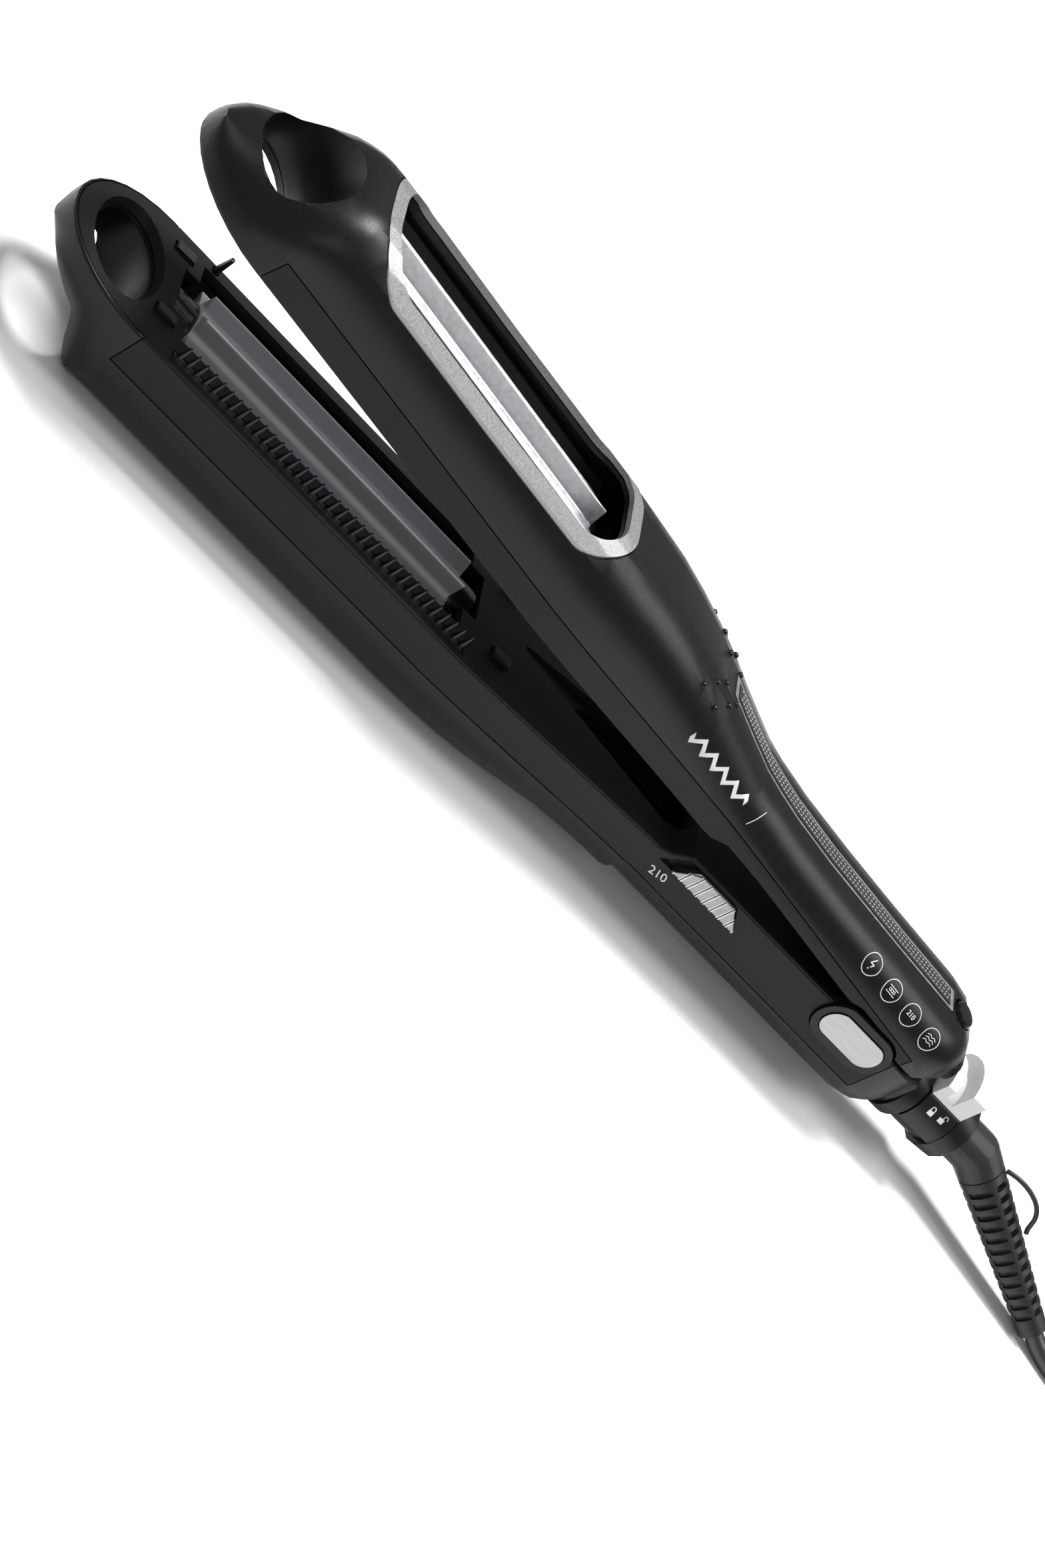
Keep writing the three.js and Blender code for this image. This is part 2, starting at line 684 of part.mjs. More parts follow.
// Shallow hollow in the inner face behind the roller, deepening towards the handle.
function scoop() {
  const length = rampX - 1 - scoopStart;
  const geometry = new THREE.CylinderGeometry(0.8, scoopHalf, length, 28);
  geometry.rotateZ(Math.PI / 2).scale(1, 1, scoopDepth / scoopHalf);
  return solid(geometry.translate(scoopStart + length / 2, rollerOffset, rimHeight));
}

function bellyScrews(grow = 0) {
  const places = [[-30, 0], [52, 0], [150, 7.4]];
  const open = grow ? 2 : 0;
  return places.map(([x, z]) => {
    const head = new THREE.CylinderGeometry(screwHead + grow, screwHead + grow, 1.1 + 2 * grow + open, 16);
    const low = z + 0.5 - open - grow;
    const high = z + 1.6 + grow;
    head.rotateX(Math.PI / 2).translate(x, 0, (low + high) / 2);
    const shank = new THREE.CylinderGeometry(screwShank + grow, screwShank + grow, 2.2 + grow, 10);
    shank.rotateX(Math.PI / 2).translate(x, 0, z + 2.6 + grow / 2);
    return solid(head).add(solid(shank));
  });
}

// Neck of the tail, with the printed lock marks on its side.
function tailCollar() {
  const start = tailX - 8;
  const sleeve = barX(tailX + gap, collarEndX, 0, collarZ, collarRadius, 32);
  const spigot = barX(start, tailX + 1, 0, collarZ, collarRadius - 1.4, 28);
  return sleeve.add(spigot).subtract(barX(start - 1, collarEndX + 1, 0, collarZ, elbowRadius + gap, 28))
    .subtract(camTrack(gap));
}

// Room that the pale lock cam turns in, round the top of the collar.
function camTrack(grow = 0) {
  const outer = barX(camStart - grow, collarEndX + 1, 0, collarZ, collarRadius + 12, 40);
  const inner = barX(camStart - 1, collarEndX + 2, 0, collarZ, collarRadius - 1.2 - grow, 32);
  return outer.subtract(inner);
}

function lockRing() {
  const end = collarEndX + gap + ringLength;
  const body = barX(collarEndX + gap, end, 0, collarZ, collarRadius, 14, collarRadius - 0.5);
  return body.subtract(barX(collarEndX - 1, end + 1, 0, collarZ, elbowRadius + gap, 28));
}

// Pale cam that catches the upper arm's tail when the ring is turned.
function lockCam() {
  const start = camStart + 0.2;
  const band = barX(start, collarEndX, 0, collarZ, collarRadius, 32)
    .subtract(barX(start - 1, collarEndX + 1, 0, collarZ, collarRadius - 1.2, 32));
  const fin = (x0, x1, radius, rise) => barX(x0, x1, 0, collarZ + rise, radius, 28)
    .intersect(box(x0, x1, -7, 9, collarZ + 5, 60))
    .subtract(barX(x0 - 1, x1 + 1, 0, collarZ, collarRadius - 1.2, 32));
  const fins = fin(start, start + 3, 9.4, 6.2).add(fin(start + 3, start + 6.5, 8, 5))
    .add(fin(start + 6.5, collarEndX, 10.4, 7.6));
  return band.intersect(box(start - 1, collarEndX + 1, -20, 20, collarZ - 2, 60)).add(fins);
}

function slideSwitch() {
  const plate = prismY(slideOutline(), -handleHalf - 0.7, -handleHalf + 1);
  const stem = box(-3, 3, -handleHalf + 0.5, -handleHalf + 3.4, -1, 1);
  return plate.add(stem).translate([slideX, 0, slideZ]);
}

buildLower();
bellyScrews().forEach((screw, i) => node(lower, `belly_screw_${i + 1}`, screw, steel));
node(lower, 'tail_collar', tailCollar(), innerBlack);
node(lower, 'lock_ring', lockRing(), satinBlack);
node(lower, 'lock_cam', lockCam(), paleCam);
node(lower, 'temperature_slide', slideSwitch(), brightSilver);
node(lower, 'circuit_board', box(...boardX, -boardHalf, boardHalf, boardZ, boardZ + boardThick), boardGreen);
node(lower, 'hinge_cheek_near', hingeCheek(false), satinBlack);
node(lower, 'hinge_cheek_far', hingeCheek(true), satinBlack);
node(lower, 'hinge_cap_near', hingeCap(false), brightSilver);
node(lower, 'hinge_cap_far', hingeCap(true), brightSilver);
node(lower, 'hinge_pin', barY(pivotX, -cheekOut + 1.9, cheekOut - 1.9, pivotZ, pinRadius, 24), steel);
node(lower, 'opening_spring', openingSpring(), steel);

// ---- upper arm ----
const upper = new THREE.Group();
upper.position.set(pivotX, 0, pivotZ);
upper.rotation.y = openAngle * deg;
const upperFrame = new THREE.Group();      // rim plane at z = 0 of this frame
upperFrame.position.set(-pivotX, 0, rimHeight + rimGap - pivotZ);
upper.add(upperFrame);
const inUpperFrame = (body) => toFrame(body, new THREE.Matrix4().makeTranslation(0, 0, rimHeight + rimGap));

const windowStations = [-56, -50, -30, 0, 30, 46, 56];

function windowFrame() {
  const outer = roundedShape(windowHalfX + frameEndWidth, windowHalfY + frameSideWidth, windowCorner + 2);
  const inner = roundedShape(windowHalfX, windowHalfY, windowCorner);
  const ring = prismZ(outer, 8, 40).subtract(prismZ(inner, 7, 41));
  return ring.intersect(armBody('upper', windowStations, -frameProud))
    .subtract(armBody('upper', windowStations, frameThick - frameProud));
}

function windowPocket() {
  const halfX = windowHalfX + frameEndWidth + gap;
  const halfY = windowHalfY + frameSideWidth + gap;
  const outer = roundedShape(halfX, halfY, windowCorner + 2);
  return prismZ(outer, 8, 40).subtract(armBody('upper', windowStations, frameThick - frameProud + gap));
}

function crownHeight(x, y) {
  const half = halfWidth(x);
  const crown = crownAt(x);
  const flat = half - crown;
  const off = Math.max(0, Math.abs(y) - flat);
  return upperDepth(x) - crown + Math.sqrt(Math.max(0, crown * crown - off * off));
}

// Textured grip strip along the outer crown, its grey rim and end tab.
function crownStrip(x0, x1, halfW, proud, grow = 0) {
  const stations = [];
  for (let i = 0; i <= stripSteps; i += 1) stations.push(mix(x0 - grow, x1 + grow, i / stripSteps));
  const rings = stations.map((x) => {
    const top = upperDepth(x) + proud;
    const low = upperDepth(x) - stripThick - grow;
    const y = halfW + grow;
    return { x, outline: [[y, low], [y, top], [-y, top], [-y, low]] };
  });
  return loft(rings);
}

function stripCentre(body) {
  return solid(toGeometry(body).translate(0, stripY, 0));
}

function gripStrip() {
  return stripCentre(crownStrip(stripStart + 2, stripEnd - 1.5, stripHalf - stripRim, 0.35));
}

function stripRimBody() {
  const outer = crownStrip(stripStart, stripEnd, stripHalf, 0.2);
  const inner = crownStrip(stripStart + 2, stripEnd - 1.5, stripHalf - stripRim, 3, gap);
  return stripCentre(outer.subtract(inner));
}

function stripTab() {
  const geometry = new THREE.CylinderGeometry(3.2, 3.8, 2.2, 12);
  geometry.rotateX(Math.PI / 2);
  const z = upperDepth(tabX) - 0.1;
  return solid(geometry.translate(tabX, stripY, z));
}

function gripDots(grow = 0) {
  const spots = [[0, 0], [6.5, 0], [3, 3.6], [10, 3.6], [6.5, 7.2], [13.5, 7.2]];
  const bodies = [];
  for (const [dx, dy] of spots) {
    for (const s of [-1, 1]) {
      const x = dotX + 13.5 - dx;
      const y = stripY + s * (stripHalf + 1.6 + dy);
      const geometry = new THREE.SphereGeometry(dotRadius + grow, 8, 6);
      bodies.push(solid(geometry.translate(x, y, crownHeight(x, y) - 0.15)));
    }
  }
  return join(bodies);
}

function buildUpper() {
  const side = 1;
  const { cover, shell } = armCasing('upper', upperSeam);
  const cheeks = join([0, -openAngle / 2, -openAngle].flatMap((turn) => [true, false].map(
    (far) => inUpperFrame(cheekAt(far, 0.7, turn)))));
  const combEnd = combStart + combPitch * (combTeeth - 1);
  const combSlot = inUpperFrame(box(combStart - 3, combEnd + 3, combY - 1.8, combY + 1.8,
    rimHeight, rimHeight + rimGap + 6));
  const guideHole = inUpperFrame(box(guideX - 3, guideX + 3, guideY - 1.9, guideY + 1.9, rimHeight,
    rimHeight + rimGap + 6));
  const lugs = inUpperFrame(hingeLugs());
  const bore = inUpperFrame(barY(pivotX, -20, 20, pivotZ, pinRadius + 0.15));
  const body = cover.subtract(rollerSlot(side)).subtract(join(stopPads(side, gap))).subtract(combSlot)
    .subtract(guideHole).subtract(cheeks).add(lugs).subtract(bore);
  node(upperFrame, 'upper_cover', body, bandBlack);
  const opening = prismZ(roundedShape(windowHalfX, windowHalfY, windowCorner), 8, 40);
  const stripPocket = stripCentre(crownStrip(stripStart, stripEnd, stripHalf, 4, gap));
  const tab = solid(new THREE.CylinderGeometry(3.8 + gap, 3.8 + gap, 2.4 + gap, 12).rotateX(Math.PI / 2)
    .translate(tabX, stripY, upperDepth(tabX)));
  const skin = shell.subtract(opening).subtract(windowPocket()).subtract(stripPocket)
    .subtract(cheeks).subtract(tab).add(gripDots());
  node(upperFrame, 'upper_shell', skin, satinBlack);
  node(upperFrame, 'window_frame', windowFrame(), satinSilver);
  node(upperFrame, 'grip_strip', gripStrip(), ceramicGrey);
  node(upperFrame, 'strip_rim', stripRimBody(), ceramicGrey);
  node(upperFrame, 'strip_tab', stripTab(), satinBlack);
  addPads(upperFrame, 'upper', side);
  node(upperFrame, 'upper_heat_shield_near', sideShield(false, shieldTop), innerBlack);
  node(upperFrame, 'upper_heat_shield_far', sideShield(true, shieldTop), innerBlack);
  addRoller(upperFrame, 'upper', side, upperSink, brightSilver, -rollerPhase);
}
buildUpper();

// ---- swivel elbow, sleeve and cord ----
const cordEnd = new THREE.Group();
const down = new THREE.Vector3(0, -Math.sin(bendRoll * deg), -Math.cos(bendRoll * deg));
const sleeveWay = new THREE.Vector3(Math.cos(bendAngle * deg), 0, 0)
  .addScaledVector(down, Math.sin(bendAngle * deg));
const elbowPoint = new THREE.Vector3(elbowX, 0, collarZ);
const sleeveFrame = new THREE.Matrix4().makeRotationFromQuaternion(
  new THREE.Quaternion().setFromUnitVectors(new THREE.Vector3(1, 0, 0), sleeveWay)).setPosition(elbowPoint);

function placed(body) {
  return solid(toGeometry(body).applyMatrix4(sleeveFrame));
}

function swivelElbow() {
  const stem = barX(tailX + 4, elbowX, 0, collarZ, elbowRadius, 24, elbowRadius);
  const knuckle = solid(new THREE.SphereGeometry(elbowRadius, 24, 16).translate(elbowX, 0, collarZ));
  const branch = placed(barX(0, 6, 0, 0, elbowRadius, 24, sleeveStart));
  const bore = barX(tailX, elbowX, 0, collarZ, cordRadius + 0.6, 12);
  const boreOut = placed(barX(-1, 8, 0, 0, cordRadius + 0.6, 12));
  return join([stem, knuckle, branch]).subtract(bore).subtract(boreOut);
}

// Tapered sleeve with window slots cut from two sides, as on a moulded cord guard.
function strainRelief() {
  const start = 6 + gap;
  const end = sleeveLength;
  let body = barX(start, end, 0, 0, sleeveStart, 20, sleeveEnd);
  const pitch = (end - start - 6) / sleeveRibs;
  for (let i = 0; i < sleeveRibs; i += 1) {
    const x = start + 2.2 + i * pitch;
    const r = mix(sleeveStart, sleeveEnd, (x - start) / (end - start));
    const wide = r * 0.72;
    const slot = (z0, z1) => box(x, x + pitch * 0.52, -wide, wide, z0, z1);
    const notch = (y0, y1) => box(x + pitch * 0.1, x + pitch * 0.6, y0, y1, -r * 0.5, r * 0.5);
    body = body.subtract(slot(r * 0.62, r + 2)).subtract(slot(-r - 2, -r * 0.62));
    body = body.subtract(notch(-r - 2, -wide)).subtract(notch(wide, r + 2));
  }
  return placed(body.subtract(barX(start - 1, end + 1, 0, 0, cordRadius + 0.15, 12)));
}

function hangLoop() {
  const points = [[6.8, 6.5], [9, 8.4], [13, 10.4], [17.5, 11], [21, 9.8], [23.8, 7], [25, 6.2]];
  const path = new THREE.CatmullRomCurve3(points.map(([x, z]) => new THREE.Vector3(x, 0, z)));
  const wire = new THREE.Shape();
  wire.absarc(0, 0, 0.7, 0, 2 * Math.PI);
  const geometry = new THREE.ExtrudeGeometry(wire, {
    extrudePath: path, steps: 14, curveSegments: 4, bevelEnabled: false,
  });
  return placed(solid(geometry));
}

// Cord route, hand placed: out of the sleeve, down to the floor and up to the hank.
const cordRoute = [[301.12, -16.26, 4.19], [304.9, -17.53, 3.15], [309.5, -19.2, 2.65], [315, -20.9, 2.56],
  [320.6, -22, 2.56]];
// From the hank's last turn to the plug.
const tailRoute = [[441.2, -23.2, 3.2], [447, -20.6, 4], [452.8, -17.9, 5.4], [457.8, -15.8, 6.5],
  [462.5, -15, 6.9]];

function tube(points, radius) {
  const path = new THREE.CatmullRomCurve3(points.map((point) => new THREE.Vector3(...point)));
  const section = new THREE.Shape();
  section.absarc(0, 0, radius, 0, 2 * Math.PI);
  const steps = Math.max(4, Math.round(path.getLength() / (radius * 5)));
  return solid(new THREE.ExtrudeGeometry(section, {
    extrudePath: path, steps, curveSegments: 5, bevelEnabled: false,
  }));
}

// Outer shape of the wound-up cord: a bundle of turns with two straight runs and a loop at each end.
function hankBody() {
  const z = hankSection + floorGap;
  const end = hankStart + hankRun;
  const loop = (x, x0, x1) => {
    const geometry = new THREE.TorusGeometry(hankBend, hankSection, 20, 40);
    return solid(geometry.translate(x, 0, z)).intersect(box(x0, x1, -40, 40, -1, 40));
  };
  const run = (y) => barX(hankStart, end, y, z, hankSection, 20);
  const loops = [loop(hankStart, hankStart - 40, hankStart), loop(end, end, end + 40)];
  return join([...loops, run(-hankBend), run(hankBend)]);
}

// Strap across both runs of the hank, open underneath where the hank rests on the floor.
function cordTie() {
  const middle = hankStart + hankRun / 2;
  const strap = (grow, half) => {
    const x0 = middle - half;
    const x1 = middle + half;
    const z = hankSection + floorGap;
    const radius = hankSection + grow;
    return barX(x0, x1, -hankBend, z, radius, 24).add(barX(x0, x1, hankBend, z, radius, 24))
      .add(box(x0, x1, -hankBend, hankBend, z - radius, z + radius));
  };
  const band = strap(gap + tieThick, tieWidth / 2).subtract(strap(gap, tieWidth / 2 + 1));
  return band.intersect(box(middle - tieWidth, middle + tieWidth, -60, 60, 2, 60));
}

// Flat two-pin plug in line with the hank, its pins towards +X.
function plugBody() {
  const half = plugWidth / 2;
  const shape = new THREE.Shape();
  shape.moveTo(0, 4);
  shape.lineTo(0, -4);
  shape.quadraticCurveTo(9, -4.5, 14, -half + 1);
  shape.lineTo(plugLength - 6, -half);
  shape.quadraticCurveTo(plugLength, -half, plugLength, -half + 4);
  shape.lineTo(plugLength, half - 4);
  shape.quadraticCurveTo(plugLength, half, plugLength - 6, half);
  shape.lineTo(14, half - 1);
  shape.quadraticCurveTo(9, 4.5, 0, 4);
  const body = prismZ(shape, floorGap, floorGap + plugHeight, 5).translate([plugRearX, plugY, 0]);
  const sockets = [-1, 1].map((s) => plugPin(s, gap));
  return body.subtract(join(sockets));
}

function plugPin(s, grow = 0) {
  const front = plugRearX + plugLength;
  const radius = pinDiameter / 2 + grow;
  const y = plugY + (s * pinPitch) / 2;
  return barX(front - 4 - grow, front + pinLength + grow, y, floorGap + plugHeight / 2, radius, 16);
}

node(cordEnd, 'swivel_elbow', swivelElbow(), cordBlack);
node(cordEnd, 'strain_relief', strainRelief(), cordBlack);
node(cordEnd, 'hang_loop', hangLoop(), cordBlack);
node(cordEnd, 'cord', tube(cordRoute, cordRadius), cordBlack);
node(cordEnd, 'cord_hank', hankBody(), cordBlack);
node(cordEnd, 'cord_tie', cordTie(), innerBlack);
node(cordEnd, 'cord_tail', tube(tailRoute, cordRadius), cordBlack);
node(cordEnd, 'plug_body', plugBody(), cordBlack);
node(cordEnd, 'plug_pin_1', plugPin(-1), brassPin);
node(cordEnd, 'plug_pin_2', plugPin(1), brassPin);

const hairCrimper = new THREE.Group();
hairCrimper.add(lower, upper, cordEnd);
export default hairCrimper;
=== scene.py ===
import bpy
import bmesh
import json
import math
from mathutils import Matrix, Vector
from mathutils.bvhtree import BVHTree


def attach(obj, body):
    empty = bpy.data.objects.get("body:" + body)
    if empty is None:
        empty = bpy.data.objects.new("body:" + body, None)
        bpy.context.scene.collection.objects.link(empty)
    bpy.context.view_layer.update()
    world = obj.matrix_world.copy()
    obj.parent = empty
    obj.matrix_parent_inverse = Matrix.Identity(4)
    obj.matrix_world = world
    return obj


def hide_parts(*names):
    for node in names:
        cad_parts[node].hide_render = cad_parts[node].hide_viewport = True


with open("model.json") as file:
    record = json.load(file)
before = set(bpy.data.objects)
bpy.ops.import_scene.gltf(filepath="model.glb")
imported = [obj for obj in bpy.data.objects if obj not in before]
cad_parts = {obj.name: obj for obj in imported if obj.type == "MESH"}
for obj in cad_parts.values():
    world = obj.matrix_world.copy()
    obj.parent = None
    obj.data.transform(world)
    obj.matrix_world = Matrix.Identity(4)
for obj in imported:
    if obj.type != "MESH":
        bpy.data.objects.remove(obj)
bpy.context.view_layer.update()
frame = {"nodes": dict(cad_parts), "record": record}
mm = 0.001  # one millimetre in scene units
print("frame loaded:", len(frame["nodes"]), "parts")

# Camera: its place in millimetres and the three directions it is turned to.
cameraSettings = {
    "place": (-343.8, -673.4, 463.1),
    "right": (0.61989, 0.12652, 0.77442),
    "down": (0.62465, -0.67688, -0.38942),
    "forward": (0.47492, 0.72514, -0.49862),
    "lens": 92.9,
    "filmWidth": 36,
    "near": 0.01,
    "far": 50,
}


def addCamera(s):
    data = bpy.data.cameras.new("camera")
    data.lens = s["lens"]
    data.sensor_width = s["filmWidth"]
    data.clip_start = s["near"]
    data.clip_end = s["far"]
    camera = bpy.data.objects.new("camera", data)
    bpy.context.collection.objects.link(camera)
    columns = (Vector(s["right"]), -Vector(s["down"]), -Vector(s["forward"]))
    turn = Matrix(columns).transposed().to_quaternion()
    camera.rotation_mode = "QUATERNION"
    camera.rotation_quaternion = turn
    camera.location = Vector(s["place"]) * mm
    bpy.context.scene.camera = camera


addCamera(cameraSettings)
print("camera set")

# Cord: the lead leaves the relief, the hank holds the turns, and the tail enters the plug.
cordSettings = {
    "diameter": 5.0,
    "exit": (301.12, -16.26, 4.19),
    "length": 1.588,
    "lead": [(301.12, -16.26, 4.19), (304.9, -17.53, 3.15), (309.5, -19.2, 2.65), (315, -20.9, 2.56),
             (320.6, -22, 2.56), (327, -22.8, 2.6), (333.5, -23.2, 3.1)],
    "hankStart": 340,
    "hankRun": 82,
    "hankBend": 20,
    "bundleRadius": 5.0,
    "bundleHeight": 7.6,
    "cellStart": -50,
    "cellStep": -60,
    "turns": 5,
    "runPoints": 5,
    "loopPoints": 8,
    "tail": [(428.5, -25.4, 6.2), (434.5, -25.1, 4.6), (441.2, -23.2, 3.4), (447, -20.6, 4),
             (452.8, -17.9, 5.4), (457.8, -15.8, 6.5), (462.5, -15, 6.9)],
    "roundness": 4,
    "curveSteps": 4,
}


# Each turn runs along the near side, round the far loop, back, and round the near loop,
# while its place in the bundle steps on by one cell.
def hankPoints(s):
    run, bend = s["hankRun"], s["hankBend"]
    loop = math.pi * bend
    around = 2 * (run + loop)
    stops = [run * i / s["runPoints"] for i in range(s["runPoints"])]
    stops += [run + loop * i / s["loopPoints"] for i in range(s["loopPoints"])]
    stops += [run + loop + run * i / s["runPoints"] for i in range(s["runPoints"])]
    stops += [2 * run + loop + loop * i / s["loopPoints"] for i in range(s["loopPoints"])]
    walked = [turn * around + stop for turn in range(s["turns"]) for stop in stops]
    walked += [s["turns"] * around + run * i / s["runPoints"] for i in range(s["runPoints"] + 1)]
    points = []
    for far in walked:
        cell = math.radians(s["cellStart"] + s["cellStep"] * far / around)
        r = bend + s["bundleRadius"] * math.cos(cell)
        z = s["bundleHeight"] + s["bundleRadius"] * math.sin(cell)
        part = far % around
        if part <= run:
            points.append((s["hankStart"] + part, -r, z))
        elif part <= run + loop:
            turn = -math.pi / 2 + (part - run) / bend
            points.append((s["hankStart"] + run + r * math.cos(turn), r * math.sin(turn), z))
        elif part <= 2 * run + loop:
            points.append((s["hankStart"] + 2 * run + loop - part, r, z))
        else:
            turn = math.pi / 2 + (part - 2 * run - loop) / bend
            points.append((s["hankStart"] + r * math.cos(turn), r * math.sin(turn), z))
    return points


# A round cord along a smooth line through the points.
def curveThrough(name, points, radius, roundness, curveSteps):
    curve = bpy.data.curves.new(name, "CURVE")
    curve.dimensions = "3D"
    curve.bevel_depth = radius * mm
    curve.bevel_resolution = roundness
    curve.resolution_u = curveSteps
    curve.use_fill_caps = True
    spline = curve.splines.new("BEZIER")
    spline.bezier_points.add(len(points) - 1)
    for target, p in zip(spline.bezier_points, points):
        target.co = Vector(p) * mm
        target.handle_left_type = "AUTO"
        target.handle_right_type = "AUTO"
    piece = bpy.data.objects.new(name, curve)
    bpy.context.collection.objects.link(piece)
    return piece



# Each finish starts from a shader tree whose patterns follow the piece itself.
def tree(name):
    material = bpy.data.materials.new(name)
    material.use_nodes = True
    nodes = material.node_tree.nodes
    links = material.node_tree.links
    shader = nodes["Principled BSDF"]
    coords = nodes.new("ShaderNodeTexCoord")
    return material, nodes, links, shader, coords


def noise(nodes, links, coords, scale, detail=2.0, roughness=0.5):
    n = nodes.new("ShaderNodeTexNoise")
    n.inputs["Scale"].default_value = scale
    n.inputs["Detail"].default_value = detail
    n.inputs["Roughness"].default_value = roughness
    links.new(coords.outputs["Object"], n.inputs["Vector"])
    return n


def spread(nodes, links, source, low, high, fromLow=0.3, fromHigh=0.7):
    n = nodes.new("ShaderNodeMapRange")
    n.inputs["From Min"].default_value = fromLow
    n.inputs["From Max"].default_value = fromHigh
    n.inputs["To Min"].default_value = low
    n.inputs["To Max"].default_value = high
    links.new(source, n.inputs["Value"])
    return n.outputs["Result"]


def blendColours(nodes, links, factor, first, second):
    n = nodes.new("ShaderNodeMix")
    n.data_type = "RGBA"
    n.inputs["A"].default_value = (*first, 1)
    n.inputs["B"].default_value = (*second, 1)
    links.new(factor, n.inputs["Factor"])
    return n.outputs["Result"]


def bump(nodes, links, shader, height, strength, distance):
    n = nodes.new("ShaderNodeBump")
    n.inputs["Strength"].default_value = strength
    n.inputs["Distance"].default_value = distance
    links.new(height, n.inputs["Height"])
    links.new(n.outputs["Normal"], shader.inputs["Normal"])


def mouldedPlastic(name, dark, light, roughness, grain=1800, bumpStrength=0.12, specular=0.5, coat=0.0):
    material, nodes, links, shader, coords = tree(name)
    broad = noise(nodes, links, coords, 26, 3)
    fine = noise(nodes, links, coords, grain, 2, 0.6)
    tone = spread(nodes, links, broad.outputs["Fac"], 0, 1)
    links.new(blendColours(nodes, links, tone, dark, light), shader.inputs["Base Color"])
    rough = spread(nodes, links, fine.outputs["Fac"], roughness - 0.04, roughness + 0.05)
    links.new(rough, shader.inputs["Roughness"])
    shader.inputs["Specular IOR Level"].default_value = specular
    shader.inputs["Coat Weight"].default_value = coat
    shader.inputs["Coat Roughness"].default_value = 0.12
    bump(nodes, links, shader, fine.outputs["Fac"], bumpStrength, 0.00006)
    return material


def metal(name, dark, light, roughness, grain=(400, 400, 400), bumpStrength=0.1, metallic=1.0):
    material, nodes, links, shader, coords = tree(name)
    mapping = nodes.new("ShaderNodeMapping")
    mapping.inputs["Scale"].default_value = grain
    links.new(coords.outputs["Object"], mapping.inputs["Vector"])
    streaks = nodes.new("ShaderNodeTexNoise")
    streaks.inputs["Scale"].default_value = 1
    streaks.inputs["Detail"].default_value = 4
    links.new(mapping.outputs["Vector"], streaks.inputs["Vector"])
    tone = spread(nodes, links, streaks.outputs["Fac"], 0, 1)
    links.new(blendColours(nodes, links, tone, dark, light), shader.inputs["Base Color"])
    rough = spread(nodes, links, streaks.outputs["Fac"], roughness - 0.05, roughness + 0.08)
    links.new(rough, shader.inputs["Roughness"])
    shader.inputs["Metallic"].default_value = metallic
    bump(nodes, links, shader, streaks.outputs["Fac"], bumpStrength, 0.00004)
    return material


# Roller colour with painted light: the tone follows the distance from the roller's own axis, so the
# ridge lines carry painted highlights and, on the upper roller, the grooves carry painted shade.
def rollerRidgeLight(name, s):
    material, nodes, links, shader, coords = tree(name)
    mapping = nodes.new("ShaderNodeMapping")
    mapping.vector_type = "POINT"
    mapping.inputs["Rotation"].default_value = (0, s["turnBack"], 0)
    mapping.inputs["Location"].default_value = s["axis"]
    links.new(coords.outputs["Object"], mapping.inputs["Vector"])
    flatten = nodes.new("ShaderNodeVectorMath")
    flatten.operation = "MULTIPLY"
    flatten.inputs[1].default_value = (0, 1, 1)
    links.new(mapping.outputs["Vector"], flatten.inputs[0])
    distance = nodes.new("ShaderNodeVectorMath")
    distance.operation = "LENGTH"
    links.new(flatten.outputs["Vector"], distance.inputs[0])
    ramp = nodes.new("ShaderNodeValToRGB")
    fraction = spread(nodes, links, distance.outputs["Value"], 0, 1, s["root"] * mm, s["tip"] * mm)
    links.new(fraction, ramp.inputs["Fac"])
    first, last = ramp.color_ramp.elements[0], ramp.color_ramp.elements[1]
    first.position, first.color = s["litTones"][0][0], (*s["litTones"][0][1], 1)
    last.position, last.color = s["litTones"][-1][0], (*s["litTones"][-1][1], 1)
    for place, colour in s["litTones"][1:-1]:
        stop = ramp.color_ramp.elements.new(place)
        stop.color = (*colour, 1)
    links.new(ramp.outputs["Color"], shader.inputs["Base Color"])
    fine = noise(nodes, links, coords, 900, 3)
    rough = spread(nodes, links, fine.outputs["Fac"], s["roughness"] - 0.04, s["roughness"] + 0.06)
    links.new(rough, shader.inputs["Roughness"])
    shader.inputs["Metallic"].default_value = s["metallic"]
    bump(nodes, links, shader, fine.outputs["Fac"], s["bump"], 0.00003)
    return material


# Lock cam: a white thumb piece on a black band, parted at one height.
camSettings = {
    "edge": 26.3, "soft": 0.05, "band": (0.006, 0.006, 0.0063), "thumb": (0.52, 0.52, 0.52),
    "grain": 1600, "roughness": (0.3, 0.42), "specular": 0.25, "bump": 0.1, "bumpDepth": 0.00005,
}


def whiteTopped(name, s):
    material, nodes, links, shader, coords = tree(name)
    height = nodes.new("ShaderNodeSeparateXYZ")
    links.new(coords.outputs["Object"], height.inputs["Vector"])
    below, over = (s["edge"] - s["soft"]) * mm, (s["edge"] + s["soft"]) * mm
    above = spread(nodes, links, height.outputs["Z"], 0, 1, below, over)
    fine = noise(nodes, links, coords, s["grain"], 2)
    rough = spread(nodes, links, fine.outputs["Fac"], *s["roughness"])
    links.new(blendColours(nodes, links, above, s["band"], s["thumb"]), shader.inputs["Base Color"])
    links.new(rough, shader.inputs["Roughness"])
    shader.inputs["Specular IOR Level"].default_value = s["specular"]
    bump(nodes, links, shader, fine.outputs["Fac"], s["bump"], s["bumpDepth"])
    return material
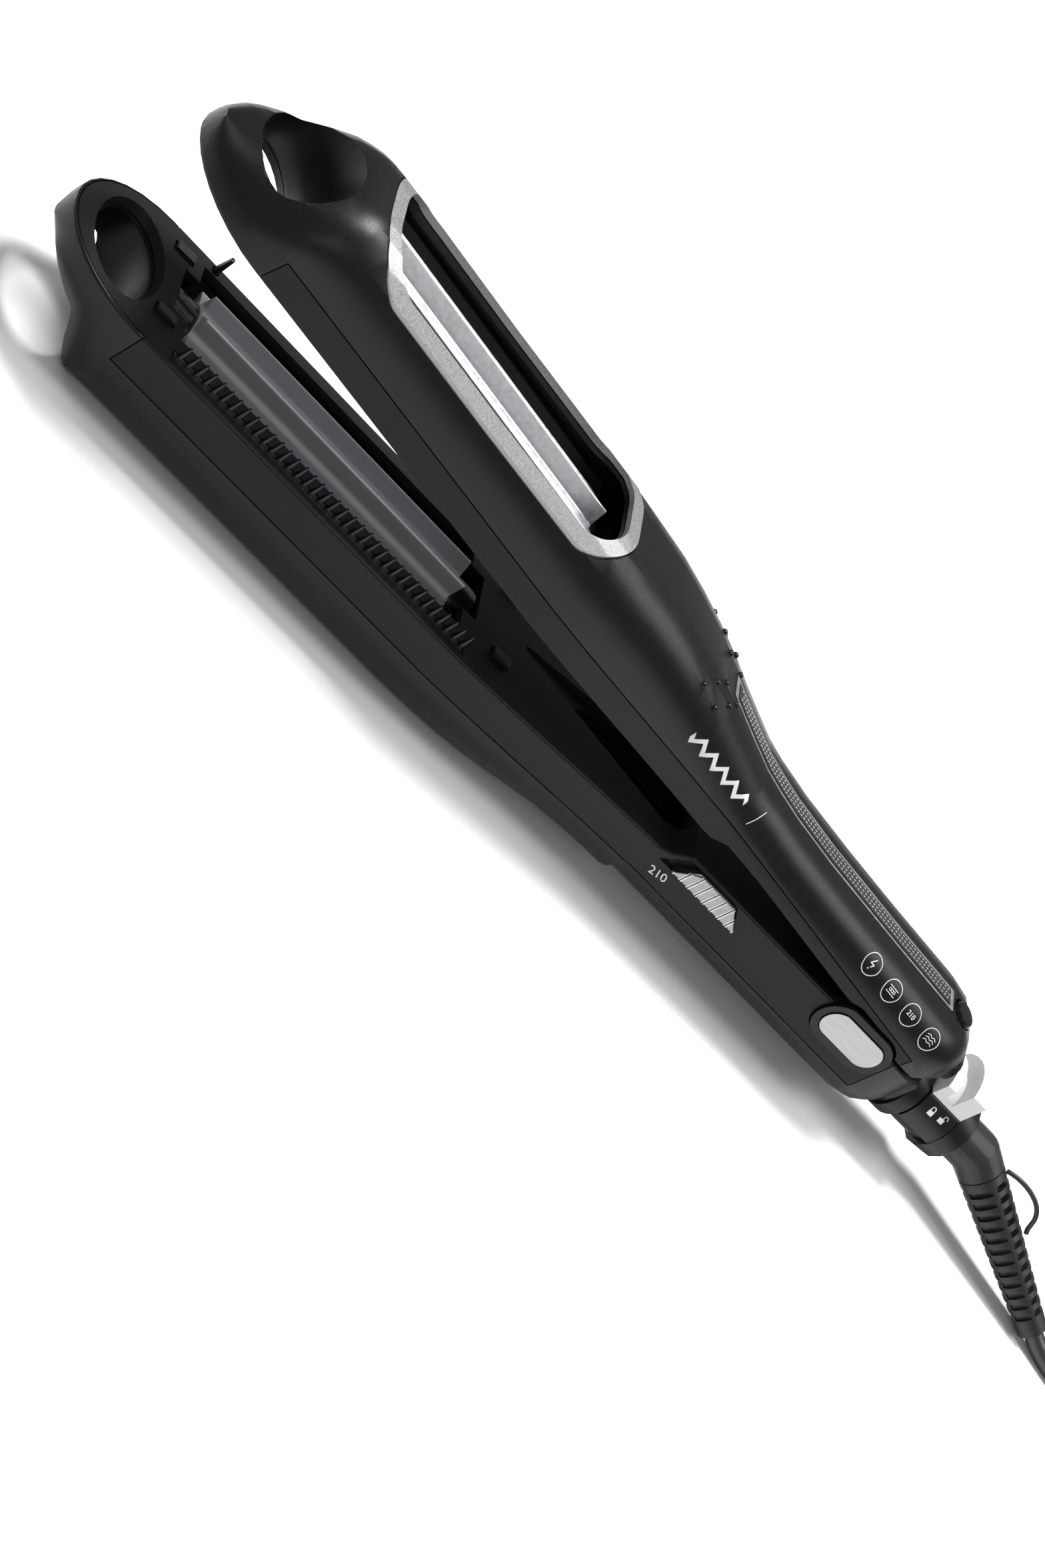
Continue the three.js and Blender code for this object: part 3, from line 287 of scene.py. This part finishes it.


# Each roller's painted ridge light is moved back onto its own axis, then read by distance from it: the
# lower roller is light at the root and near white at the ridge tips, painted highlight lines, and the
# upper roller darkens into the grooves as painted shade and brightens to the tips as painted highlight.
rollerRoot, rollerTip, armSlope = 7.0, 10.7, math.asin(0.111469)
lowerRollerRidgeLight = {
    "axis": (0, -0.00275, -0.0178), "turnBack": 0, "root": rollerRoot, "tip": rollerTip,
    "litTones": [(0.0, (0.55, 0.56, 0.58)), (0.22, (0.26, 0.265, 0.282)), (0.8, (0.24, 0.245, 0.262)),
              (0.95, (0.3, 0.305, 0.318)), (1.0, (0.8, 0.8, 0.81))],
    "roughness": 0.36, "metallic": 0.0, "bump": 0.06,
}
upperAxisPoint = Vector((0.00238, 0.00275, 0.05801))
upperTurn = Matrix.Rotation(-armSlope, 3, "Y")
upperRollerRidgeLight = {
    "axis": tuple(-(upperTurn @ upperAxisPoint)), "turnBack": -armSlope,
    "root": rollerRoot, "tip": rollerTip,
    "litTones": [(0.0, (0.42, 0.43, 0.45)), (0.3, (0.72, 0.73, 0.75)), (0.85, (0.82, 0.83, 0.85)),
              (1.0, (0.92, 0.92, 0.93))],
    "roughness": 0.3, "metallic": 0.9, "bump": 0.015,
}

finishes = {
    "satin_black": mouldedPlastic("satinShell", (0.0032, 0.0032, 0.0034), (0.0045, 0.0045, 0.0048),
                                  0.36, 1800, 0.12, 0.2),
    "band_black": mouldedPlastic("mattBand", (0.0058, 0.0058, 0.006), (0.0078, 0.0078, 0.0081),
                                 0.46, 2600, 0.3, 0.14),
    "comb_black": mouldedPlastic("combPlastic", (0.005, 0.005, 0.0055), (0.007, 0.007, 0.0075),
                                 0.34, 1800, 0.12, 0.35),
    "pad_black": mouldedPlastic("bumperRubber", (0.008, 0.008, 0.0085), (0.012, 0.012, 0.013),
                                0.42, 1500, 0.2, 0.4),
    "shield_black": mouldedPlastic("heatCoating", (0.004, 0.004, 0.0045), (0.007, 0.007, 0.0075),
                                   0.6, 1200, 0.2, 0.25),
    "bearing_black": mouldedPlastic("glossBearing", (0.006, 0.006, 0.007), (0.009, 0.009, 0.01),
                                    0.2, 900, 0.05, 0.6, 0.4),
    "roller_grey": rollerRidgeLight("greyCeramicLitRidges", lowerRollerRidgeLight),
    "roller_silver": rollerRidgeLight("polishedRollerLitRidges", upperRollerRidgeLight),
    "frame_silver": metal("grainySilver", (0.17, 0.17, 0.174), (0.33, 0.33, 0.336),
                          0.46, (3000, 3000, 3000), 0.4, 0.8),
    "slide_silver": metal("brightSlide", (0.2, 0.203, 0.207), (0.27, 0.273, 0.277),
                          0.34, (150, 1200, 900), 0.05),
    "cap_silver": metal("satinCap", (0.27, 0.27, 0.276), (0.33, 0.33, 0.336),
                        0.3, (120, 2600, 2600), 0.08),
    "inner_steel": metal("plainSteel", (0.42, 0.43, 0.44), (0.6, 0.61, 0.62),
                         0.3, (300, 900, 900), 0.1),
    "board_green": mouldedPlastic("boardMask", (0.012, 0.09, 0.045), (0.02, 0.13, 0.06), 0.45, 900),
    "cam_white": whiteTopped("whiteCam", camSettings),
    "strip_black": mouldedPlastic("gripRubber", (0.008, 0.008, 0.009), (0.012, 0.012, 0.013),
                                  0.5, 2200, 0.3, 0.4),
    "rim_grey": metal("satinRim", (0.17, 0.17, 0.175), (0.22, 0.22, 0.225),
                      0.42, (600, 600, 600), 0.1, 0.6),
    "relief_black": mouldedPlastic("flexibleRelief", (0.011, 0.011, 0.0115), (0.016, 0.016, 0.017),
                                   0.42, 1600, 0.2, 0.3),
    "cord_black": mouldedPlastic("cordSheath", (0.012, 0.0125, 0.0135), (0.016, 0.0165, 0.018),
                                 0.38, 1200, 0.15),
    "tie_black": mouldedPlastic("tieRubber", (0.007, 0.007, 0.0075), (0.011, 0.011, 0.012),
                                0.6, 1500, 0.3, 0.3),
    "plug_black": mouldedPlastic("plugShell", (0.009, 0.009, 0.0095), (0.013, 0.013, 0.014),
                                 0.4, 1500, 0.2),
    "pin_brass": metal("plainBrass", (0.55, 0.41, 0.18), (0.72, 0.56, 0.28),
                       0.28, (300, 1500, 1500), 0.08),
}
print("finishes made:", len(finishes))

# Edge rounds in millimetres for each finish, and how the parts are dressed.
edgeRounds = {
    "satin_black": 0.35, "band_black": 0.3, "comb_black": 0.2, "pad_black": 0.3,
    "bearing_black": 0.25, "roller_grey": 0.18, "roller_silver": 0.18, "frame_silver": 0.15,
    "slide_silver": 0.2, "cap_silver": 0.2, "cam_white": 0.3, "strip_black": 0.2,
    "rim_grey": 0.2, "relief_black": 0.25, "plug_black": 0.6, "pin_brass": 0.3, "inner_steel": 0.15,
}
dressSettings = {"join": 0.000002, "roundSteps": 2, "roundAbove": 38, "creaseAbove": 34, "evenness": 80}


def dress(piece, slotName, rounding, s):
    piece.data.materials.clear()
    piece.data.materials.append(finishes[slotName])
    for face in piece.data.polygons:
        face.use_smooth = True
    weld = piece.modifiers.new("join", "WELD")
    weld.merge_threshold = s["join"]
    if rounding:
        bevel = piece.modifiers.new("soften", "BEVEL")
        bevel.width = rounding * mm
        bevel.segments = s["roundSteps"]
        bevel.limit_method = "ANGLE"
        bevel.angle_limit = math.radians(s["roundAbove"])
        bevel.use_clamp_overlap = True
    split = piece.modifiers.new("creases", "EDGE_SPLIT")
    split.split_angle = math.radians(s["creaseAbove"])
    even = piece.modifiers.new("evenShade", "WEIGHTED_NORMAL")
    even.weight = s["evenness"]


slotOf = {part["node"]: part["material_slot"] for part in frame["record"]["subparts"]}
for rod in ("lower_heater_rod", "upper_heater_rod"):
    slotOf[rod] = "bearing_black"
for nodeName, piece in frame["nodes"].items():
    slotName = slotOf[nodeName]
    dress(piece, slotName, edgeRounds.get(slotName, 0), dressSettings)
print("parts dressed:", len(slotOf))


def addCord(s):
    points = s["lead"] + hankPoints(s) + s["tail"]
    cord = curveThrough("power_cord", points, s["diameter"] / 2, s["roundness"], s["curveSteps"])
    cord.data.materials.append(finishes["cord_black"])
    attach(cord, "cord_end")
    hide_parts("cord", "cord_hank", "cord_tail")


# Finishes of the small added pieces.
pale = mouldedPlastic("palePrint", (0.5, 0.5, 0.5), (0.58, 0.58, 0.58), 0.5, 1500, 0.05, 0.3)
# Near white for the slide's edge rails, a painted highlight along the rib edges.
railPaintedHighlight = mouldedPlastic("railPaintedHighlight", (0.68, 0.68, 0.69), (0.76, 0.76, 0.77), 0.35, 900, 0.05, 0.5)
# Mid grey for the grip dots, a painted highlight on dots that are black.
dotPaintedHighlight = mouldedPlastic("dotPaintedHighlight", (0.2, 0.2, 0.205), (0.27, 0.27, 0.275), 0.4, 1200, 0.08, 0.5)


# Turns a drawing in millimetres into a finished piece that rides on a body.
def finishPiece(name, bm, material, body, smooth=True):
    bmesh.ops.scale(bm, vec=(mm, mm, mm), verts=bm.verts)
    for face in bm.faces:
        face.smooth = smooth
    mesh = bpy.data.meshes.new(name)
    bm.to_mesh(mesh)
    bm.free()
    mesh.materials.append(material)
    piece = bpy.data.objects.new(name, mesh)
    bpy.context.collection.objects.link(piece)
    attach(piece, body)
    return piece


# A part's surface, ready to be hit by rays.
def skinOf(nodeName):
    bm = bmesh.new()
    bm.from_mesh(frame["nodes"][nodeName].data)
    skin = BVHTree.FromBMesh(bm)
    bm.free()
    return skin


rayStart = 12  # how far outside the skin each ray starts
filmThickness = 0.04


# Lays a flat drawing, x along the arm and y up its side, onto the skin of a part.
def layOn(bm, skins, s):
    across = Vector(s["right"]).normalized()
    up = Vector(s["up"]).normalized()
    inward = -across.cross(up).normalized()
    for vert in bm.verts:
        start = (Vector(s["centre"]) + across * vert.co.x + up * vert.co.y - inward * rayStart) * mm
        found = [skin.ray_cast(start, inward) for skin in skins]
        found = [hit for hit in found if hit[0] is not None]
        hit = min(found, key=lambda one: one[3])
        vert.co = (hit[0] - inward * s["lift"] * mm) / mm


# A flat ring, and below it a line of given width through a list of points.
def ring(bm, x, y, radius, width, segments=48):
    made = bmesh.ops.create_circle(bm, cap_ends=True, segments=segments, radius=radius)
    face = made["verts"][0].link_faces[0]
    bmesh.ops.translate(bm, vec=(x, y, 0), verts=made["verts"])
    bmesh.ops.inset_region(bm, faces=[face], thickness=width, use_boundary=True, use_even_offset=True)
    bmesh.ops.delete(bm, geom=[face], context="FACES")


def stroke(bm, points, width):
    for (x0, y0), (x1, y1) in zip(points, points[1:]):
        length = math.hypot(x1 - x0, y1 - y0)
        count = max(1, round(length / 1.2))
        made = bmesh.ops.create_grid(bm, x_segments=count, y_segments=1, size=0.5)
        turn = Matrix.Rotation(math.atan2(y1 - y0, x1 - x0), 4, "Z")
        move = Matrix.Translation(((x0 + x1) / 2, (y0 + y1) / 2, 0))
        size = Matrix.Diagonal((length + width * 0.8, width, 1, 1))
        bmesh.ops.transform(bm, matrix=move @ turn @ size, verts=made["verts"])


def addFilm(piece):
    film = piece.modifiers.new("film", "SOLIDIFY")
    film.thickness = filmThickness * mm
    film.offset = 1


badgeSettings = {
    "centres": [(177.25, -12.3, 42.64), (186.51, -12.68, 41.7),
                (195.21, -12.94, 40.96), (204.01, -13.19, 40.2)],
    "right": (0.9938, 0, -0.1115), "up": (0.08, 0.71, 0.70), "lift": 0.05,
    "radius": 2.95, "line": 0.2,
    "bolt": [(0.3, 1.5), (-0.7, 0.05), (0.6, 0.05), (-0.3, -1.5)], "boltLine": 0.26,
    "barrels": (-0.75, 0, 0.75), "barrelRadius": 0.42, "barrelLine": 0.16, "barrelSteps": 20,
    "plateHalf": 1.6, "plateRise": 0.85, "plateLine": 0.2,
    "waves": (-0.8, 0, 0.8), "waveX": (-1.6, -0.8, 0, 0.8, 1.6), "waveRise": 0.2, "waveLine": 0.18,
}


def addBadges(s):
    skins = [skinOf("upper_shell"), skinOf("upper_cover")]
    for number, centre in enumerate(s["centres"], 1):
        bm = bmesh.new()
        ring(bm, 0, 0, s["radius"], s["line"])
        if number == 1:
            stroke(bm, s["bolt"], s["boltLine"])
        if number == 2:
            for x in s["barrels"]:
                ring(bm, x, 0, s["barrelRadius"], s["barrelLine"], s["barrelSteps"])
            for y in (s["plateRise"], -s["plateRise"]):
                stroke(bm, [(-s["plateHalf"], y), (s["plateHalf"], y)], s["plateLine"])
        if number == 4:
            for y in s["waves"]:
                crests = [y + s["waveRise"] * (-1 if i % 2 == 0 else 1) for i in range(len(s["waveX"]))]
                stroke(bm, list(zip(s["waveX"], crests)), s["waveLine"])
        layOn(bm, skins, {**s, "centre": centre})
        piece = finishPiece(f"badge_{number}", bm, pale, "upper_arm", False)
        addFilm(piece)


addBadges(badgeSettings)

motifSettings = {
    "centre": (107.5, -13.9, 50.2), "right": (0.9938, 0, -0.1115), "up": (0.1, 0.5, 0.86), "lift": 0.05,
    "halfLength": 12.6, "peaks": 5, "height": 2.5, "line": 1.5, "steps": 100,
    "ruleX": 18.2, "ruleLean": 0.7, "ruleHalf": 2.6, "ruleLine": 0.2,
}


# A plain crimp wave on the shell, with a rule after it.
def addMotif(s):
    bm = bmesh.new()
    made = bmesh.ops.create_grid(bm, x_segments=s["steps"], y_segments=2, size=1)
    for vert in made["verts"]:
        wave = math.asin(math.sin(vert.co.x * s["peaks"] * math.pi)) / (math.pi / 2)
        across = vert.co.y * s["line"] / 2 + wave * s["height"] / 2
        vert.co = Vector((vert.co.x * s["halfLength"], across, 0))
    rule = [(s["ruleX"] - s["ruleLean"], -s["ruleHalf"]), (s["ruleX"] + s["ruleLean"], s["ruleHalf"])]
    stroke(bm, rule, s["ruleLine"])
    layOn(bm, [skinOf("upper_shell"), skinOf("upper_cover")], s)
    piece = finishPiece("crimp_wave_mark", bm, pale, "upper_arm", False)
    addFilm(piece)


addMotif(motifSettings)


# Numerals are drawn with the built-in font, then made a mesh.
def numerals(text, height, weight=0.0):
    curve = bpy.data.curves.new("numerals", "FONT")
    curve.body = text
    curve.size = height
    curve.offset = weight
    curve.align_x = "CENTER"
    curve.align_y = "CENTER"
    curve.resolution_u = 4
    holder = bpy.data.objects.new("numerals", curve)
    bpy.context.collection.objects.link(holder)
    mesh = bpy.data.meshes.new_from_object(holder)
    bm = bmesh.new()
    bm.from_mesh(mesh)
    bpy.data.objects.remove(holder)
    bpy.data.curves.remove(curve)
    bpy.data.meshes.remove(mesh)
    return bm


numeralSettings = {
    "text": "210", "badgeSize": 1.9, "badgeWeight": 0.02, "badgeNumber": 3, "heatSize": 3.7,
    "centre": (125.9, -14.9, 19.35), "right": (0.983, 0, 0.18), "up": (-0.18, 0, 0.983), "lift": 0.05,
    "lean": ((0.95, -0.33, 0, 0), (0, 0.95, 0, 0), (0, 0, 1, 0), (0, 0, 0, 1)),
}


def addNumerals(s):
    bm = numerals(s["text"], s["badgeSize"], s["badgeWeight"])
    centre = badgeSettings["centres"][s["badgeNumber"] - 1]
    layOn(bm, [skinOf("upper_shell")], {**badgeSettings, "centre": centre})
    addFilm(finishPiece("badge_numerals", bm, pale, "upper_arm", False))
    bm = numerals(s["text"], s["heatSize"])
    bmesh.ops.transform(bm, matrix=Matrix(s["lean"]), verts=bm.verts)
    layOn(bm, [skinOf("lower_cover"), skinOf("lower_shell")], s)
    addFilm(finishPiece("heat_numerals", bm, pale, "lower_arm", False))


addNumerals(numeralSettings)

lockMarks = {
    "closed": (228.66, -7.23, 22.71), "open": (232.38, -7.02, 23.1),
    "right": (1, 0, 0), "up": (0, 0.47, 0.88), "lift": 0.05,
    "width": 1.75, "height": 1.35, "drop": 0.5, "shackle": 0.62, "line": 0.28,
    "openShift": 0.85, "rise": 0.45, "foot": -0.1, "openFoot": 0.35, "archSteps": 8,
}


def addLockMarks(s):
    for which in ("closed", "open"):
        bm = bmesh.new()
        made = bmesh.ops.create_grid(bm, x_segments=2, y_segments=3, size=0.5)
        bmesh.ops.scale(bm, vec=(s["width"], s["height"], 1), verts=made["verts"])
        bmesh.ops.translate(bm, vec=(0, -s["drop"], 0), verts=made["verts"])
        shift, foot = (0, s["foot"]) if which == "closed" else (s["openShift"], s["openFoot"])
        base = s["height"] / 2 - s["drop"]
        turns = [step * math.pi / s["archSteps"] for step in range(s["archSteps"] + 1)]
        arch = [(s["shackle"] * math.cos(turn) + shift,
                 base + s["rise"] + s["shackle"] * math.sin(turn)) for turn in turns]
        legs = [(arch[0][0], base + foot)] + arch + [(arch[-1][0], base + s["foot"])]
        stroke(bm, legs, s["line"])
        layOn(bm, [skinOf("lock_cam")], {**s, "centre": s[which]})
        addFilm(finishPiece("lock_mark_" + which, bm, pale, "lock", False))


addLockMarks(lockMarks)
print("marks laid on")

# Slide: upright ribs under a sloped top line, each with a thin rail at both edges coloured near white
# as a painted highlight.
ribSettings = {
    "start": 126.6, "end": 149.4, "low": 23.1, "high": 28.1, "topStart": 130.9, "topEnd": 143.8,
    "lead": 0.12, "lowest": 0.25, "ribs": 8, "face": -15.95, "back": -15.0, "groove": 0.5,
    "soften": 0.14, "rail": 0.17, "railSides": 10, "railInset": 0.1,
}


def addRibbedSlide(s):
    pitch = (s["end"] - s["start"]) / s["ribs"]

    def topAt(x):
        up = (x - s["start"]) / (s["topStart"] - s["start"])
        down = (s["end"] - x) / (s["end"] - s["topEnd"])
        reach = s["high"] - s["low"] - s["lowest"]
        return s["low"] + s["lowest"] + reach * max(0, min(1, up, down))

    slabs, rails = bmesh.new(), bmesh.new()
    for i in range(s["ribs"]):
        x0 = s["start"] + i * pitch + s["lead"]
        x1 = x0 + pitch - s["groove"]
        made = bmesh.ops.create_cube(slabs, size=1)
        for vert in made["verts"]:
            x = x1 if vert.co.x > 0 else x0
            z = topAt(x) if vert.co.z > 0 else s["low"]
            vert.co = Vector((x, s["back"] if vert.co.y > 0 else s["face"], z))
        for x in (x0 + s["railInset"], x1 - s["railInset"]):
            top = topAt(x)
            made = bmesh.ops.create_cone(rails, cap_ends=True, segments=s["railSides"],
                                         radius1=s["rail"], radius2=s["rail"],
                                         depth=top - s["low"] + s["railInset"])
            bmesh.ops.translate(rails, vec=(x, s["face"], (top + s["low"]) / 2), verts=made["verts"])
    bmesh.ops.bevel(slabs, geom=slabs.edges[:], offset=s["soften"], offset_type="OFFSET", segments=2,
                    profile=0.5, affect="EDGES", material=-1)
    finishPiece("slide_ribs", slabs, finishes["slide_silver"], "slide", False)
    finishPiece("slide_highlight_rails", rails, railPaintedHighlight, "slide")


addRibbedSlide(ribSettings)
print("slide ribbed")

# Grip strip: rows of small dots laid along the sloped upper arm, coloured mid grey as a painted
# highlight on black dots.
dotSettings = {
    "start": 99.5, "end": 203.5, "pitch": 1.25, "rows": (-1.35, 0, 1.35), "above": 40,
    "radius": 0.36, "stretch": 1.25, "squash": 0.6,
}
hingeX, hingeZ, armDrop, armTilt = 192.6, 26, 1.4, 6.4  # tilt in degrees, the rest in millimetres
upperPlace = Matrix.Translation((hingeX, 0, hingeZ)) @ Matrix.Rotation(math.radians(armTilt), 4, "Y")
upperPlace = upperPlace @ Matrix.Translation((-hingeX, 0, armDrop))


def addStripDots(s):
    skin = skinOf("grip_strip")
    down = (upperPlace.to_3x3() @ Vector((0, 0, -1))).normalized()
    bm = bmesh.new()
    for row, y in enumerate(s["rows"]):
        count = int((s["end"] - s["start"]) / s["pitch"])
        for i in range(count):
            x = s["start"] + (i + 0.5 * (row % 2)) * s["pitch"]
            above = upperPlace @ Vector((x, y, s["above"]))
            hit = skin.ray_cast(above * mm, down)
            if hit[0] is None:
                continue
            made = bmesh.ops.create_icosphere(bm, subdivisions=1, radius=s["radius"])
            bmesh.ops.scale(bm, vec=(s["stretch"], 1, s["squash"]), verts=made["verts"])
            bmesh.ops.translate(bm, vec=hit[0] / mm, verts=made["verts"])
    finishPiece("strip_dots", bm, dotPaintedHighlight, "upper_arm")


addStripDots(dotSettings)
print("grip dots laid on")

# Plug sleeve: a ribbed half outline, given as place and radius, turned round the cord.
sleeveSettings = {
    "centre": (0, -15.1, 6.85), "bore": 2.55, "steps": 28,
    "profile": [(453.8, 2.75), (454.2, 3.2), (455.6, 3.35), (455.9, 2.95), (456.7, 2.95),
                (457.0, 3.6), (458.2, 3.7), (458.5, 3.2), (459.3, 3.2), (459.6, 3.95),
                (460.8, 4.1), (461.1, 3.6), (461.8, 3.6), (462.1, 4.4), (463.4, 4.6)],
}


def addPlugSleeve(s):
    bm = bmesh.new()
    first, last = s["profile"][0][0], s["profile"][-1][0]
    outline = [(first, s["bore"])] + s["profile"] + [(last, s["bore"])]
    line = [bm.verts.new((x, 0, radius)) for x, radius in outline]
    edges = [bm.edges.new(pair) for pair in zip(line, line[1:] + line[:1])]
    bmesh.ops.spin(bm, geom=line + edges, cent=(0, 0, 0), axis=(1, 0, 0), angle=math.tau,
                   steps=s["steps"], use_merge=True)
    bmesh.ops.remove_doubles(bm, verts=bm.verts, dist=0.001)
    bmesh.ops.recalc_face_normals(bm, faces=bm.faces)
    bmesh.ops.translate(bm, vec=s["centre"], verts=bm.verts)
    finishPiece("plug_sleeve", bm, finishes["plug_black"], "cord_end", False)


addPlugSleeve(sleeveSettings)
addCord(cordSettings)
print("plug sleeve and cord made")

# Studio: a pale floor, a faint even sky and four soft lamps, placed in metres.
studio = {
    "floorHalf": 4.0,
    "floorColour": (0.86, 0.86, 0.86),
    "floorPatch": (0.855, 0.855, 0.857),
    "floorRoughness": 0.9,
    "worldColour": (1.0, 1.0, 1.0),
    "worldStrength": 0.3,
    "lamps": [
        {"name": "key", "place": (0.2, 0.36, 1.5), "aim": (0.08, 0, 0), "size": 0.5, "power": 38},
        {"name": "band", "place": (1.0, -0.14, 1.2), "aim": (0.06, 0, 0.05), "size": 0.75, "power": 12},
        {"name": "side", "place": (-0.9, 0.35, 0.9), "aim": (0.05, 0, 0), "size": 0.6, "power": 3},
        {"name": "front", "place": (-0.1, -1.3, 1.0), "aim": (0.08, 0, 0), "size": 0.6, "power": 3},
    ],
}


def addStudio(s):
    bm = bmesh.new()
    bmesh.ops.create_grid(bm, x_segments=1, y_segments=1, size=s["floorHalf"])
    mesh = bpy.data.meshes.new("floor")
    bm.to_mesh(mesh)
    bm.free()
    floor = bpy.data.objects.new("floor", mesh)
    bpy.context.collection.objects.link(floor)
    material, nodes, links, shader, coords = tree("paleFloor")
    faint = noise(nodes, links, coords, 3, 2)
    tone = blendColours(nodes, links, faint.outputs["Fac"], s["floorColour"], s["floorPatch"])
    links.new(tone, shader.inputs["Base Color"])
    shader.inputs["Roughness"].default_value = s["floorRoughness"]
    shader.inputs["Specular IOR Level"].default_value = 0.0
    mesh.materials.append(material)
    world = bpy.data.worlds.new("studio")
    world.use_nodes = True
    background = world.node_tree.nodes["Background"]
    background.inputs["Color"].default_value = (*s["worldColour"], 1)
    background.inputs["Strength"].default_value = s["worldStrength"]
    bpy.context.scene.world = world
    for lamp in s["lamps"]:
        data = bpy.data.lights.new(lamp["name"], "AREA")
        data.shape = "SQUARE"
        data.size = lamp["size"]
        data.energy = lamp["power"]
        light = bpy.data.objects.new(lamp["name"], data)
        light.location = lamp["place"]
        aim = Vector(lamp["aim"]) - Vector(lamp["place"])
        light.rotation_euler = aim.to_track_quat("-Z", "Y").to_euler()
        light.visible_camera = False
        bpy.context.collection.objects.link(light)
    bpy.context.scene.view_settings.view_transform = "Standard"
    bpy.context.scene.view_settings.look = "None"


addStudio(studio)
print("studio lit")
